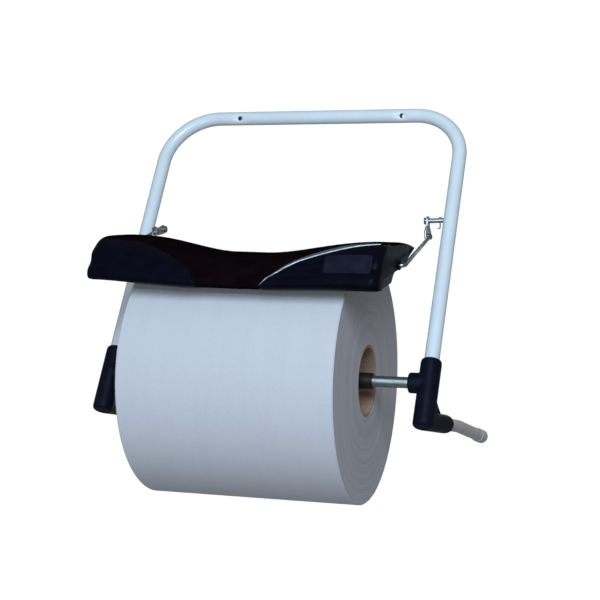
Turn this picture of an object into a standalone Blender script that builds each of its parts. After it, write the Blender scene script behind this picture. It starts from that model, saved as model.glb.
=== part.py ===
# Wall-mounted dispenser for an industrial roll of wiping paper.
# Metres, +Z up. The wall is the plane Y = 0 and the viewer stands on the -Y side.
# The origin is on the wall, at the middle of the frame's top bar.

import math

import bmesh
import bpy
from mathutils import Matrix, Vector

# General clearances and tolerances
CLEARANCE = 0.0003
SNUG = 0.00015
OVERRUN = 0.004
WELD = 0.000002

# Frame: one tube bent to an upside-down U
LEG_ROOM = 0.025
LEG_LENGTH = 0.3388
LEG_LEAN = math.radians(31.8)
BEND_RADIUS = 0.057
TUBE_DIAMETER = 0.018
TUBE_WALL = 0.0015
TUBE_SIDES = 20
BEND_STEPS = 8
LEFT_HOLE_FROM_BEND = 0.0335
RIGHT_HOLE_FROM_BEND = 0.016
SCREW_HOLE = 0.0055
DIMPLE_DEPTH = 0.0022
DIMPLE_REACH = 0.0085
DIMPLE_SPREAD = math.radians(34)
COINED_LENGTH = 0.012
COINED_FADE = 0.004
COINED_SPREAD = math.radians(37)

# Elbows: leg socket on top, axle boss inwards, stand-off socket to the rear
ELBOW_DIAMETER = 0.0226
ELBOW_ABOVE = 0.0265
ELBOW_BELOW = 0.050
ELBOW_COLLAR = 0.0060
ELBOW_COLLAR_WALL = 0.0008
ELBOW_FILLET = 0.0042
LEG_STOP = 0.013
BOSS_DIAMETER = 0.0220
BOSS_REACH = 0.021
BOSS_FILLET = 0.0018
BOSS_BORE_DEPTH = 0.015
SOCKET_DIAMETER = 0.0205
SOCKET_LENGTH = 0.074
SOCKET_DOWN = 0.042
SOCKET_FILLET = 0.0026
SOCKET_STOP = 0.020
GUSSET_THICKNESS = 0.0070
GUSSET_UP = 0.038
GUSSET_BACK = 0.046
GUSSET_HOLLOW_SHARES = ((0.20, 0.69), (0.45, 0.36), (0.785, 0.13))
ELBOW_SIDES = 24

# Stand-offs: thin tubes from the elbows back to the wall
STANDOFF_DIAMETER = 0.0138
STANDOFF_WALL = 0.0012
STANDOFF_SPLAY = math.radians(6.2)
STANDOFF_DROP = math.radians(11.6)
STANDOFF_BEND = math.radians(4.6)
STANDOFF_BEND_AT = 0.118
STANDOFF_BEND_RADIUS = 0.140
STANDOFF_SIDES = 18
CAP_SKIRT = 0.016
CAP_WALL = 0.0009
CAP_NOSE = 0.0062
CAP_FOOT = 0.0044

# Axle: fixed rod on the left, sprung rod on the right, both in one sleeve
ROD_DIAMETER = 0.012
ROD_CHAMFER = 0.0012
ROD_IN_BOSS = 0.0135
SLEEVE_DIAMETER = 0.0176
SLEEVE_WALL = 0.0014
SLEEVE_OVERHANG = 0.0045
BUSH_LENGTH = 0.014
BUSH_FLANGE = 0.0012
FLANGE_LENGTH = 0.004
FIXED_ROD_REACH = 0.08225
AXLE_TRAVEL = 0.016
SPRING_WIRE = 0.0014
SPRING_TURNS = 12
SPRING_POINTS = 8
SPRING_SIDES = 5

# Core hubs: moulded spiders that centre the sleeve in the core
HUB_INSET = 0.03425
HUB_WIDTH = 0.016
HUB_RIM = 0.0030
HUB_BOSS = 0.0036
HUB_WEB = 0.0034
HUB_SPOKES = 5
HUB_SPOKE_WIDTH = 0.007
HUB_SIDES = 30

# Paper roll
ROLL_DIAMETER = 0.262
ROLL_WIDTH = 0.2325
ROLL_EDGE = 0.0012
CORE_DIAMETER = 0.0762
CORE_WALL = 0.0030
CORE_INSET = 0.0004
ROLL_SIDES = 80
CORE_SIDES = 40
SHEET_THICKNESS = 0.0005
SHEET_START = math.radians(28)
SHEET_END = math.radians(135)
SHEET_STEPS = 26
SHEET_NARROWER = 0.0006

# Cover: moulded hood that rests on the roll, with a flared lip to tear against
COVER_OVERHANG = 0.04075
COVER_SHIFT = -0.0020
COVER_DEPTH = 0.1515
COVER_REAR = 0.036
COVER_WALL = 0.0025
COVER_MID_RISE = 0.0006
COVER_MID_HEIGHT = 0.0326
COVER_END_RISE = 0.0158
COVER_END_HEIGHT = 0.0447
COVER_BLEND_REACH = 0.135
COVER_END_ROUND = 0.008
COVER_END_STEPS = 3
COVER_STATION_GAP = 0.0150
COVER_TILT = math.radians(1.0)
COVER_TILT_RISE = 0.0001
SLOT_LENGTH = 0.0125
SLOT_WIDTH = 0.0024
SLOT_SIDES = 12
LUG_DIAMETER = 0.0098
LUG_THICKNESS = 0.0018
LUG_INSIDE = 0.0006
LUG_SIDES = 28

# The hood's outline, from its rear edge forwards and down to its lip:
# (share of the depth from the rear, share of the height from the bottom)
END_OUTLINE_SHARES = (
    (0.000, 0.911), (0.119, 0.955), (0.304, 0.989), (0.502, 1.000), (0.660, 1.000), (0.739, 0.982),
    (0.799, 0.922), (0.851, 0.810), (0.898, 0.687), (0.921, 0.575), (0.932, 0.462), (0.955, 0.375),
    (0.984, 0.298), (1.000, 0.190), (0.997, 0.085), (0.977, 0.022), (0.944, 0.000),
)
MID_OUTLINE_SHARES = (
    (0.000, 0.896), (0.119, 0.972), (0.304, 1.000), (0.502, 0.994), (0.634, 0.963), (0.726, 0.902),
    (0.792, 0.819), (0.845, 0.727), (0.884, 0.644), (0.908, 0.564), (0.922, 0.479), (0.948, 0.390),
    (0.977, 0.313), (0.992, 0.202), (0.989, 0.095), (0.967, 0.028), (0.934, 0.000),
)
# How much of the end's rounding each point of the outline takes, square to the outline and straight
# back: the shoulder is drawn in all round, and the flared lip sweeps back round the corner
END_ROUND_SHARES = (
    0.13, 0.35, 0.53, 0.63, 0.63, 0.63, 0.63, 0.63, 0.63, 0.63, 0.60, 0.50, 0.40, 0.30, 0.20, 0.15, 0.15,
)
END_BACK_SHARES = (0, 0, 0, 0, 0, 0, 0, 0, 0, 0.10, 0.30, 0.55, 0.80, 0.95, 1, 1, 1)
# Lower edge of each end wall, from the lip back to the rear edge, in the same shares, with how
# much of the end's rounding it takes upwards and straight back
END_EDGE_SHARES = (
    (0.920, -0.003, 0.22, 1.00), (0.790, 0.035, 0.22, 0.60), (0.653, 0.094, 0.19, 0.15),
    (0.615, 0.180, 0.19, 0), (0.568, 0.300, 0.16, 0), (0.475, 0.350, 0.13, 0),
    (0.356, 0.389, 0.10, 0), (0.214, 0.559, 0.06, 0), (0.020, 0.836, 0, 0),
)
LUG_SHARES = (0.458, 0.478)
SLOT_SHARES = (0.120, 0.770)

# Silver trim arc, from its low tip to its high tip: (share of the half length, share of the way
# along the outline, share of the full width)
TRIM_SHARES = (
    (0.226, 0.935, 0.22), (0.250, 0.916, 0.36), (0.280, 0.885, 0.46), (0.310, 0.853, 0.54),
    (0.340, 0.830, 0.62), (0.370, 0.813, 0.68), (0.400, 0.798, 0.74), (0.458, 0.768, 0.84),
    (0.550, 0.733, 0.96), (0.650, 0.703, 1.00), (0.770, 0.673, 0.96), (0.890, 0.645, 0.65),
    (0.955, 0.634, 0.25),
)
TRIM_WIDTH = 0.0042
TRIM_THICKNESS = 0.0008
TRIM_STEPS_PER_SPAN = 2

# Bare plate on the hood's front, to the right
PLATE_FROM_SHARE = 0.632
PLATE_TO_SHARE = 0.942
PLATE_HIGH_SHARE = 0.745
PLATE_LOW_SHARE = 0.862
PLATE_THICKNESS = 0.0007
PLATE_STEPS = 6

# Toothed strip behind the lip
TEETH = 40
TOOTH_DEPTH = 0.0026
STRIP_THICKNESS = 0.0012
STRIP_NOTCH = 10
STRIP_SHORTER = 0.022
STRIP_ABOVE_LIP = 0.0012

# Arms: studs in the legs, links, rivets and wires that carry the hood
LEFT_STUD_UP = 0.1555
RIGHT_STUD_UP = 0.1675
STUD_GAP = 0.0015
STUD_DIAMETER = 0.0054
STUD_IN_LEG = 0.0045
STUD_HEAD_DIAMETER = 0.0080
STUD_HEAD = 0.0014
STUD_INNER = 0.0028
LINK_THICKNESS = 0.0028
LINK_LENGTH = 0.0185
LINK_TOP_DIAMETER = 0.0105
LINK_FOOT_DIAMETER = 0.0080
LEFT_LINK_TURN = math.radians(-82)
RIGHT_LINK_TURN = math.radians(-15)
RIVET_DIAMETER = 0.0032
RIVET_HEAD_DIAMETER = 0.0056
RIVET_HEAD = 0.0009
WIRE_DIAMETER = 0.0044
WIRE_EYE_DIAMETER = 0.0076
WIRE_EYE_THICKNESS = 0.0026
WIRE_EYE_OVERLAP = 0.0006
WIRE_SIDES = 10
WIRE_BEND_RADIUS = 0.0042
WIRE_BEND_STEPS = 5
WIRE_THROUGH = 0.0075
WIRE_CAP_DIAMETER = 0.0085
WIRE_CAP_THICKNESS = 0.0016
PIN_DIAMETER = 0.0018
PIN_FROM_LEG = 0.0026
PIN_BELOW = 0.0100
PIN_HEAD_DIAMETER = 0.0036
PIN_HEAD = 0.0010
ROUND_SIDES = 16

# Derived places
COVER_LENGTH = ROLL_WIDTH + 2 * COVER_OVERHANG
HALF_COVER = COVER_LENGTH / 2
FRAME_WIDTH = COVER_LENGTH + 2 * LEG_ROOM
TUBE_RADIUS = TUBE_DIAMETER / 2
LEG_UP = Vector((0, math.sin(LEG_LEAN), math.cos(LEG_LEAN)))
LEG_NORMAL = Vector((0, math.cos(LEG_LEAN), -math.sin(LEG_LEAN)))
AXLE_CENTRE = Vector((0, -TUBE_RADIUS, 0)) - LEG_UP * LEG_LENGTH
HALF_WIDTH = FRAME_WIDTH / 2
ROLL_RADIUS = ROLL_DIAMETER / 2
HALF_ROLL = ROLL_WIDTH / 2
HALF_SLEEVE = HALF_ROLL + SLEEVE_OVERHANG
BOSS_FACE = HALF_WIDTH - BOSS_REACH
SEAT_RADIUS = ROLL_RADIUS + CLEARANCE + SHEET_THICKNESS + CLEARANCE
STUD_OUT = HALF_COVER + STUD_GAP
FIXED_ROD_END = HALF_ROLL - FIXED_ROD_REACH
SLEEVE_BORE = SLEEVE_DIAMETER - 2 * SLEEVE_WALL
SIDES = {"left": -1, "right": 1}
STUD_UP = {"left": LEFT_STUD_UP, "right": RIGHT_STUD_UP}
LINK_TURN = {"left": LEFT_LINK_TURN, "right": RIGHT_LINK_TURN}
X_AXIS = Vector((1, 0, 0))
Y_AXIS = Vector((0, 1, 0))
Z_AXIS = Vector((0, 0, 1))


# Materials
PAINT = ("white_paint", (0.80, 0.83, 0.87), 0.35, 0.0)
BLACK_PLASTIC = ("black_plastic", (0.012, 0.013, 0.018), 0.38, 0.0)
GLOSS_BLACK = ("gloss_black", (0.008, 0.009, 0.013), 0.22, 0.0)
WHITE_RUBBER = ("white_rubber", (0.72, 0.72, 0.72), 0.7, 0.0)
ZINC = ("bright_zinc", (0.62, 0.66, 0.66), 0.25, 1.0)
SILVER = ("silver_trim", (0.60, 0.66, 0.68), 0.3, 1.0)
CARDBOARD = ("cardboard", (0.34, 0.24, 0.15), 0.9, 0.0)
PAPER = ("paper", (0.72, 0.78, 0.86), 0.9, 0.0)
NYLON = ("grey_nylon", (0.25, 0.25, 0.26), 0.5, 0.0)


def material(look):
    name, colour, roughness, metallic = look
    found = bpy.data.materials.get(name)
    if found:
        return found
    made = bpy.data.materials.new(name)
    made.use_nodes = True
    shader = made.node_tree.nodes["Principled BSDF"]
    shader.inputs["Base Color"].default_value = (*colour, 1)
    shader.inputs["Roughness"].default_value = roughness
    shader.inputs["Metallic"].default_value = metallic
    made.diffuse_color = (*colour, 1)
    return made


def axis_frame(origin, along, towards):
    """Matrix whose Z runs along one direction and whose X leans towards another."""
    z = Vector(along).normalized()
    x = (Vector(towards) - z * z.dot(towards)).normalized()
    y = z.cross(x)
    return Matrix.Translation(origin) @ Matrix((x, y, z)).transposed().to_4x4()


def mesh_object(name, bm):
    bmesh.ops.remove_doubles(bm, verts=bm.verts, dist=WELD)
    bmesh.ops.recalc_face_normals(bm, faces=bm.faces)
    mesh = bpy.data.meshes.new(name)
    bm.to_mesh(mesh)
    bm.free()
    made = bpy.data.objects.new(name, mesh)
    bpy.context.scene.collection.objects.link(made)
    return made


def evaluated_mesh(thing):
    depsgraph = bpy.context.evaluated_depsgraph_get()
    return bpy.data.meshes.new_from_object(thing.evaluated_get(depsgraph))


def boolean(target, tool, operation):
    """Cut or join one object with another, which is used up."""
    step = target.modifiers.new(operation, "BOOLEAN")
    step.operation = operation
    step.solver = "EXACT"
    step.object = tool
    old = target.data
    target.data = evaluated_mesh(target)
    target.modifiers.clear()
    bpy.data.meshes.remove(old)
    bpy.data.objects.remove(tool)
    return target


def cut(target, tool):
    return boolean(target, tool, "DIFFERENCE")


def fuse(target, tool):
    return boolean(target, tool, "UNION")


def finish(thing, look, parent=None):
    """Give the piece its material, smooth shading and its parent, and its origin on that parent."""
    thing.data.materials.clear()
    thing.data.materials.append(material(look))
    thing.data.shade_smooth()
    thing.data.set_sharp_from_angle(angle=math.radians(32))
    if parent:
        thing.data.transform(parent.matrix_world.inverted())
        thing.parent = parent
    return thing


def turned(name, outline, frame, sides):
    """Turn a closed outline of (radius, height) points about the frame's Z axis."""
    bm = bmesh.new()
    points = [bm.verts.new(frame @ Vector((radius, 0, height))) for radius, height in outline]
    edges = [bm.edges.new((points[i], points[(i + 1) % len(points)])) for i in range(len(points))]
    centre = frame.to_translation()
    axis = frame.to_3x3() @ Z_AXIS
    bmesh.ops.spin(bm, geom=points + edges, cent=centre, axis=axis, angle=math.tau, steps=sides, use_merge=True)
    lonely = [edge for edge in bm.edges if not edge.link_faces]
    bmesh.ops.delete(bm, geom=lonely, context="EDGES")
    bmesh.ops.remove_doubles(bm, verts=bm.verts, dist=WELD)
    flat = [face for face in bm.faces if face.calc_area() < WELD * WELD]
    bmesh.ops.delete(bm, geom=flat, context="FACES")
    return mesh_object(name, bm)


def rounded_rod(name, frame, length, radius, fillets, sides, steps=3):
    """Solid rod along the frame's Z with a rounded start and end."""
    low, high = fillets
    outline = [(0, 0)]
    if low:
        for i in range(steps + 1):
            turn = math.pi / 2 * i / steps
            outline.append((radius - low + low * math.sin(turn), low - low * math.cos(turn)))
    else:
        outline.append((radius, 0))
    if high:
        for i in range(steps + 1):
            turn = math.pi / 2 * i / steps
            outline.append((radius - high + high * math.cos(turn), length - high + high * math.sin(turn)))
    else:
        outline.append((radius, length))
    outline.append((0, length))
    return turned(name, outline, frame, sides)


def plain_rod(name, frame, length, diameter, sides=ROUND_SIDES):
    return rounded_rod(name, frame, length, diameter / 2, (0, 0), sides)


def ring_outline(inner, outer, low, high):
    return [(inner, low), (outer, low), (outer, high), (inner, high)]


def rod_between(name, start, end, diameter, sides=ROUND_SIDES):
    along = Vector(end) - Vector(start)
    side = Z_AXIS if abs(along.normalized().z) < 0.9 else Y_AXIS
    return plain_rod(name, axis_frame(start, along, side), along.length, diameter, sides)


def box_between(name, frame, low, high):
    """Box in the frame's own axes between two corners."""
    bm = bmesh.new()
    size = Vector(high) - Vector(low)
    middle = (Vector(high) + Vector(low)) / 2
    place = frame @ Matrix.Translation(middle) @ Matrix.Diagonal((*size, 1))
    bmesh.ops.create_cube(bm, size=1, matrix=place)
    return mesh_object(name, bm)


def loft(name, rings, closed_ends=True):
    """Join rings of equally many points into a skin, and close both ends."""
    bm = bmesh.new()
    rows = [[bm.verts.new(point) for point in ring] for ring in rings]
    count = len(rows[0])
    for first, second in zip(rows, rows[1:]):
        for i in range(count):
            j = (i + 1) % count
            bm.faces.new((first[i], first[j], second[j], second[i]))
    if closed_ends:
        bm.faces.new(rows[0])
        bm.faces.new(reversed(rows[-1]))
    return mesh_object(name, bm)


def corner_path(points, radius, steps):
    """Straight runs joined by arcs of one radius."""
    path = [Vector(points[0])]
    for before, here, after in zip(points, points[1:], points[2:]):
        into = (Vector(here) - Vector(before)).normalized()
        out = (Vector(after) - Vector(here)).normalized()
        turn = into.angle(out)
        back = radius * math.tan(turn / 2)
        start = Vector(here) - into * back
        inward = (out - into * into.dot(out)).normalized()
        centre = start + inward * radius
        for i in range(steps + 1):
            a = turn * i / steps
            path.append(centre - inward * radius * math.cos(a) + into * radius * math.sin(a))
    path.append(Vector(points[-1]))
    return path


def path_rings(path, radius, sides):
    """Rings square to a path, turned as little as possible from one to the next."""
    tangents = []
    for i, point in enumerate(path):
        before = path[max(i - 1, 0)]
        after = path[min(i + 1, len(path) - 1)]
        into = (point - before).normalized()
        out = (after - point).normalized()
        tangents.append((into + out).normalized())
    side = tangents[0].orthogonal().normalized()
    rings = []
    for point, tangent in zip(path, tangents):
        side = (side - tangent * tangent.dot(side)).normalized()
        up = tangent.cross(side)
        rings.append([
            point + (side * math.cos(a) + up * math.sin(a)) * radius
            for a in (math.tau * k / sides for k in range(sides))
        ])
    return rings


def swept_rod(name, path, diameter, sides):
    return loft(name, path_rings(path, diameter / 2, sides))


def leg_point(side, up_leg, out=0, across=0):
    """Point on a leg's axis, measured up the leg from the axle's centre line."""
    return AXLE_CENTRE + X_AXIS * (SIDES[side] * (HALF_WIDTH + out)) + LEG_UP * up_leg + LEG_NORMAL * across


def axle_point(along, forward=0, up=0):
    return AXLE_CENTRE + Vector((along, -forward, up))


# Frame tube
def hole_places():
    straight = HALF_WIDTH - BEND_RADIUS
    return (LEFT_HOLE_FROM_BEND - straight, straight - RIGHT_HOLE_FROM_BEND)


def bar_stations():
    """Places along the straight of the top bar, close together at the pressed holes."""
    reach = COINED_LENGTH + COINED_FADE
    shares = (-1, -COINED_LENGTH / reach, -0.5, -0.25, 0, 0.25, 0.5, COINED_LENGTH / reach, 1)
    places = [hole + reach * share for hole in hole_places() for share in shares]
    ends = HALF_WIDTH - BEND_RADIUS
    return sorted([-ends, *places, ends])


def pressed(point, x, angle, radius):
    """Coin the back of the bar flat at each hole, and dimple its front."""
    moved = Vector(point)
    for hole in hole_places():
        away = abs(x - hole)
        if away < COINED_LENGTH + WELD and abs(angle) < COINED_SPREAD:
            moved.y = radius - TUBE_RADIUS
        front = math.pi - abs(angle)
        dent = DIMPLE_DEPTH * math.exp(-(away / DIMPLE_REACH) ** 2 * 2) * math.exp(-(front / DIMPLE_SPREAD) ** 2 * 2)
        moved.y += dent
    return moved


def frame_rings(radius, coined):
    """Rings round the U-shaped path, seams kept in line with the wall."""
    rings = []
    angles = [math.tau * k / TUBE_SIDES for k in range(TUBE_SIDES)]
    angles = [a if a <= math.pi else a - math.tau for a in angles]

    def ring(centre, tangent):
        normal = LEG_NORMAL
        up = tangent.cross(normal)
        turn = LEG_LEAN
        return [
            centre + (normal * math.cos(a + turn) + up * math.sin(a + turn)) * radius
            for a in angles
        ]

    corner = HALF_WIDTH - BEND_RADIUS
    top = LEG_LENGTH - BEND_RADIUS
    rings.append(ring(leg_point("left", LEG_STOP + CLEARANCE), LEG_UP))
    for i in range(BEND_STEPS + 1):
        a = math.pi / 2 * i / BEND_STEPS
        centre = AXLE_CENTRE - X_AXIS * (corner + BEND_RADIUS * math.cos(a)) + LEG_UP * (top + BEND_RADIUS * math.sin(a))
        rings.append(ring(centre, LEG_UP * math.cos(a) + X_AXIS * math.sin(a)))
    for x in bar_stations()[1:-1]:
        centre = AXLE_CENTRE + X_AXIS * x + LEG_UP * LEG_LENGTH
        plain = ring(centre, X_AXIS)
        if coined:
            plain = [pressed(point, x, a, radius) for point, a in zip(plain, angles)]
        rings.append(plain)
    for i in range(BEND_STEPS + 1):
        a = math.pi / 2 * i / BEND_STEPS
        centre = AXLE_CENTRE + X_AXIS * (corner + BEND_RADIUS * math.sin(a)) + LEG_UP * (top + BEND_RADIUS * math.cos(a))
        rings.append(ring(centre, X_AXIS * math.cos(a) - LEG_UP * math.sin(a)))
    rings.append(ring(leg_point("right", LEG_STOP + CLEARANCE), -LEG_UP))
    return rings


def frame_tube():
    outer = frame_rings(TUBE_RADIUS, True)
    inner = frame_rings(TUBE_RADIUS - TUBE_WALL, True)
    bm = bmesh.new()
    skins = []
    for rings in (outer, inner):
        rows = [[bm.verts.new(point) for point in ring] for ring in rings]
        for first, second in zip(rows, rows[1:]):
            for i in range(TUBE_SIDES):
                j = (i + 1) % TUBE_SIDES
                bm.faces.new((first[i], first[j], second[j], second[i]))
        skins.append(rows)
    for row in (0, -1):
        for i in range(TUBE_SIDES):
            j = (i + 1) % TUBE_SIDES
            bm.faces.new((skins[0][row][i], skins[0][row][j], skins[1][row][j], skins[1][row][i]))
    tube = mesh_object("frame_tube", bm)
    for x in hole_places():
        start = Vector((x, OVERRUN, 0))
        end = Vector((x, -TUBE_DIAMETER - OVERRUN, 0))
        cut(tube, rod_between("screw_hole", start, end, SCREW_HOLE, ROUND_SIDES))
    for side in SIDES:
        start, _ = stud_ends(side)
        end = start - stud_direction(side) * (TUBE_RADIUS + OVERRUN)
        cut(tube, rod_between("stud_hole", start, end, STUD_DIAMETER + 2 * CLEARANCE, ROUND_SIDES))
    return finish(tube, PAINT)


# Elbows and stand-offs
def socket_direction(side):
    """Way that the stand-off leaves the elbow: back, a little out and down."""
    level = Vector((SIDES[side] * math.sin(STANDOFF_SPLAY), math.cos(STANDOFF_SPLAY), 0))
    return level * math.cos(STANDOFF_DROP) - Z_AXIS * math.sin(STANDOFF_DROP)


def outer_direction(side):
    """Way that the stand-off runs after its bend."""
    drop = STANDOFF_DROP + STANDOFF_BEND
    level = Vector((SIDES[side] * math.sin(STANDOFF_SPLAY), math.cos(STANDOFF_SPLAY), 0))
    return level * math.cos(drop) - Z_AXIS * math.sin(drop)


def socket_origin(side):
    return leg_point(side, -SOCKET_DOWN)


def elbow(side):
    name = side + "_elbow"
    radius = ELBOW_DIAMETER / 2
    bore = TUBE_RADIUS + SNUG
    frame = axis_frame(leg_point(side, -ELBOW_BELOW), LEG_UP, X_AXIS)
    height = ELBOW_ABOVE + ELBOW_BELOW
    outline = [(0, 0)]
    for i in range(4):
        a = math.pi / 2 * i / 3
        outline.append((radius - ELBOW_FILLET * (1 - math.sin(a)), ELBOW_FILLET * (1 - math.cos(a))))
    outline += [
        (radius, height - ELBOW_COLLAR),
        (radius - (radius - bore - ELBOW_COLLAR_WALL) * 0.45, height - ELBOW_COLLAR * 0.45),
        (bore + ELBOW_COLLAR_WALL, height),
        (0, height),
    ]
    body = turned(name, outline, frame, ELBOW_SIDES)

    inward = X_AXIS * -SIDES[side]
    boss_frame = axis_frame(leg_point(side, 0), inward, LEG_UP)
    boss = rounded_rod("boss", boss_frame, BOSS_REACH, BOSS_DIAMETER / 2, (0, BOSS_FILLET), ELBOW_SIDES)
    fuse(body, boss)

    direction = socket_direction(side)
    socket_frame = axis_frame(socket_origin(side), direction, X_AXIS)
    socket = rounded_rod(
        "socket", socket_frame, SOCKET_LENGTH, SOCKET_DIAMETER / 2, (0, SOCKET_FILLET), ELBOW_SIDES
    )
    fuse(body, socket)
    fuse(body, gusset(side))

    leg_hole_frame = axis_frame(leg_point(side, LEG_STOP), LEG_UP, X_AXIS)
    depth = ELBOW_ABOVE - LEG_STOP + OVERRUN
    cut(body, rounded_rod("leg_hole", leg_hole_frame, depth, bore, (0, 0), ELBOW_SIDES))

    boss_mouth = axle_point(SIDES[side] * (BOSS_FACE - OVERRUN))
    hole_frame = axis_frame(boss_mouth, -inward, LEG_UP)
    depth = BOSS_BORE_DEPTH + OVERRUN
    cut(body, rounded_rod("axle_hole", hole_frame, depth, ROD_DIAMETER / 2 + SNUG, (0, 0), 24))

    start = socket_origin(side) + direction * SOCKET_STOP
    stub_frame = axis_frame(start, direction, X_AXIS)
    depth = SOCKET_LENGTH - SOCKET_STOP + OVERRUN
    stub_bore = STANDOFF_DIAMETER / 2 + SNUG
    cut(body, rounded_rod("standoff_hole", stub_frame, depth, stub_bore, (0, 0), 24))
    return finish(body, BLACK_PLASTIC)


def gusset(side):
    """Web in the corner between the elbow's upright and its rear socket."""
    direction = socket_direction(side)
    origin = socket_origin(side)
    near = ELBOW_DIAMETER / 2 - OVERRUN / 2
    low = SOCKET_DIAMETER / 2 - OVERRUN / 2
    shares = [(0, 1), *GUSSET_HOLLOW_SHARES, (1, 0)]
    hollow = [(near + (GUSSET_BACK - near) * back, low + GUSSET_UP * up) for back, up in shares]
    outline = [(0, 0), (0, low + GUSSET_UP), *hollow, (GUSSET_BACK, 0)]
    corner = [origin + direction * back + LEG_UP * up for back, up in outline]
    across = direction.cross(LEG_UP).normalized() * (GUSSET_THICKNESS / 2)
    return loft("gusset", [[p - across for p in corner], [p + across for p in corner]])


def standoff_path(side):
    """From inside the socket, round the gentle bend, to just short of the wall."""
    direction = socket_direction(side)
    beyond = outer_direction(side)
    start = socket_origin(side) + direction * (SOCKET_STOP + CLEARANCE)
    bend = socket_origin(side) + direction * STANDOFF_BEND_AT
    reach = (-CAP_NOSE - bend.y) / beyond.y
    end = bend + beyond * reach
    return corner_path([start, bend, end], STANDOFF_BEND_RADIUS, 3), end


def standoff_tube(side):
    path, _ = standoff_path(side)
    outer = path_rings(path, STANDOFF_DIAMETER / 2, STANDOFF_SIDES)
    inner = path_rings(path, STANDOFF_DIAMETER / 2 - STANDOFF_WALL, STANDOFF_SIDES)
    rings = outer + list(reversed(inner))
    bm = bmesh.new()
    rows = [[bm.verts.new(point) for point in ring] for ring in rings]
    for k in range(len(rows)):
        first, second = rows[k], rows[(k + 1) % len(rows)]
        for i in range(STANDOFF_SIDES):
            j = (i + 1) % STANDOFF_SIDES
            bm.faces.new((first[i], first[j], second[j], second[i]))
    return finish(mesh_object(side + "_standoff_tube", bm), PAINT)


def standoff_cap(side):
    """Slip-on end cap, rounded, with a small flat foot that bears on the wall."""
    _, end = standoff_path(side)
    direction = outer_direction(side)
    inner = STANDOFF_DIAMETER / 2 + SNUG
    outer = inner + CAP_WALL
    frame = axis_frame(end - direction * CAP_SKIRT, direction, X_AXIS)
    floor = CAP_SKIRT + CLEARANCE
    outline = [(0, floor), (inner, floor), (inner, 0), (outer, 0), (outer, CAP_SKIRT)]
    nose = outer
    for i in range(1, 5):
        a = math.pi / 2 * i / 5
        outline.append((outer * math.cos(a), CAP_SKIRT + nose * math.sin(a)))
    outline.append((0, CAP_SKIRT + nose))
    cap = turned(side + "_standoff_cap", outline, frame, STANDOFF_SIDES)
    wall_low = Vector((-FRAME_WIDTH, 0, -LEG_LENGTH * 2))
    wall_high = Vector((FRAME_WIDTH, SOCKET_LENGTH, 0))
    cut(cap, box_between("wall", Matrix.Identity(4), wall_low, wall_high))
    return finish(cap, WHITE_RUBBER)


# Axle
def fixed_rod():
    """Left rod: fixed in its boss, with a flange inside the sleeve that carries the spring."""
    tip = HALF_WIDTH - BOSS_REACH + ROD_IN_BOSS
    length = tip - FIXED_ROD_END
    radius = ROD_DIAMETER / 2
    flange = SLEEVE_BORE / 2 - CLEARANCE
    outline = [
        (0, 0), (flange, 0), (flange, FLANGE_LENGTH), (radius, FLANGE_LENGTH),
        (radius, length - ROD_CHAMFER), (radius - ROD_CHAMFER, length), (0, length),
    ]
    frame = axis_frame(axle_point(-FIXED_ROD_END), -X_AXIS, Z_AXIS)
    return finish(turned("left_axle_rod", outline, frame, 24), ZINC)


def sprung_rod_flange_face():
    return HALF_SLEEVE - BUSH_LENGTH - CLEARANCE - FLANGE_LENGTH


def sprung_rod(parent):
    """Right rod: slides in the sleeve against the spring, so that its tip leaves the boss."""
    start = sprung_rod_flange_face()
    tip = BOSS_FACE + ROD_IN_BOSS
    length = tip - start
    radius = ROD_DIAMETER / 2
    flange = SLEEVE_BORE / 2 - CLEARANCE
    outline = [
        (0, 0), (flange, 0), (flange, FLANGE_LENGTH), (radius, FLANGE_LENGTH),
        (radius, length - ROD_CHAMFER), (radius - ROD_CHAMFER, length), (0, length),
    ]
    frame = axis_frame(axle_point(start), X_AXIS, Z_AXIS)
    return finish(turned("right_axle_rod", outline, frame, 24), ZINC, parent)


def axle_spring():
    """Open coil between the two rods' flanges."""
    low = -FIXED_ROD_END + CLEARANCE + SPRING_WIRE / 2
    high = sprung_rod_flange_face() - CLEARANCE - SPRING_WIRE / 2
    middle_radius = SLEEVE_BORE / 2 - CLEARANCE - SPRING_WIRE / 2
    count = SPRING_TURNS * SPRING_POINTS
    path = []
    for i in range(count + 1):
        a = math.tau * i / SPRING_POINTS
        along = low + (high - low) * i / count
        path.append(axle_point(along, middle_radius * math.cos(a), middle_radius * math.sin(a)))
    turns = zip(path, path[SPRING_POINTS:])
    least = min((b - a).length for a, b in turns) - SPRING_WIRE
    print("least gap between the spring's turns, in metres:", round(least, 5))
    return finish(swept_rod("axle_spring", path, SPRING_WIRE, SPRING_SIDES), ZINC)


def sleeve(parent):
    outline = ring_outline(SLEEVE_BORE / 2, SLEEVE_DIAMETER / 2, 0, 2 * HALF_SLEEVE)
    frame = axis_frame(axle_point(-HALF_SLEEVE), X_AXIS, Z_AXIS)
    return finish(turned("axle_sleeve", outline, frame, 28), BLACK_PLASTIC, parent)


def sleeve_bush(side, parent):
    """Flanged bush in the end of the sleeve, bored for the rod."""
    inner = ROD_DIAMETER / 2 + CLEARANCE
    outer = SLEEVE_BORE / 2 - SNUG
    rim = SLEEVE_DIAMETER / 2
    sign = SIDES[side]
    frame = axis_frame(axle_point(sign * (HALF_SLEEVE - BUSH_LENGTH)), X_AXIS * sign, Z_AXIS)
    flange = BUSH_LENGTH + SNUG
    outline = [
        (inner, 0), (outer, 0), (outer, flange), (rim, flange),
        (rim, flange + BUSH_FLANGE * 0.6), (rim - BUSH_FLANGE * 0.5, flange + BUSH_FLANGE),
        (inner, flange + BUSH_FLANGE),
    ]
    return finish(turned(side + "_sleeve_bush", outline, frame, 24), BLACK_PLASTIC, parent)


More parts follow.
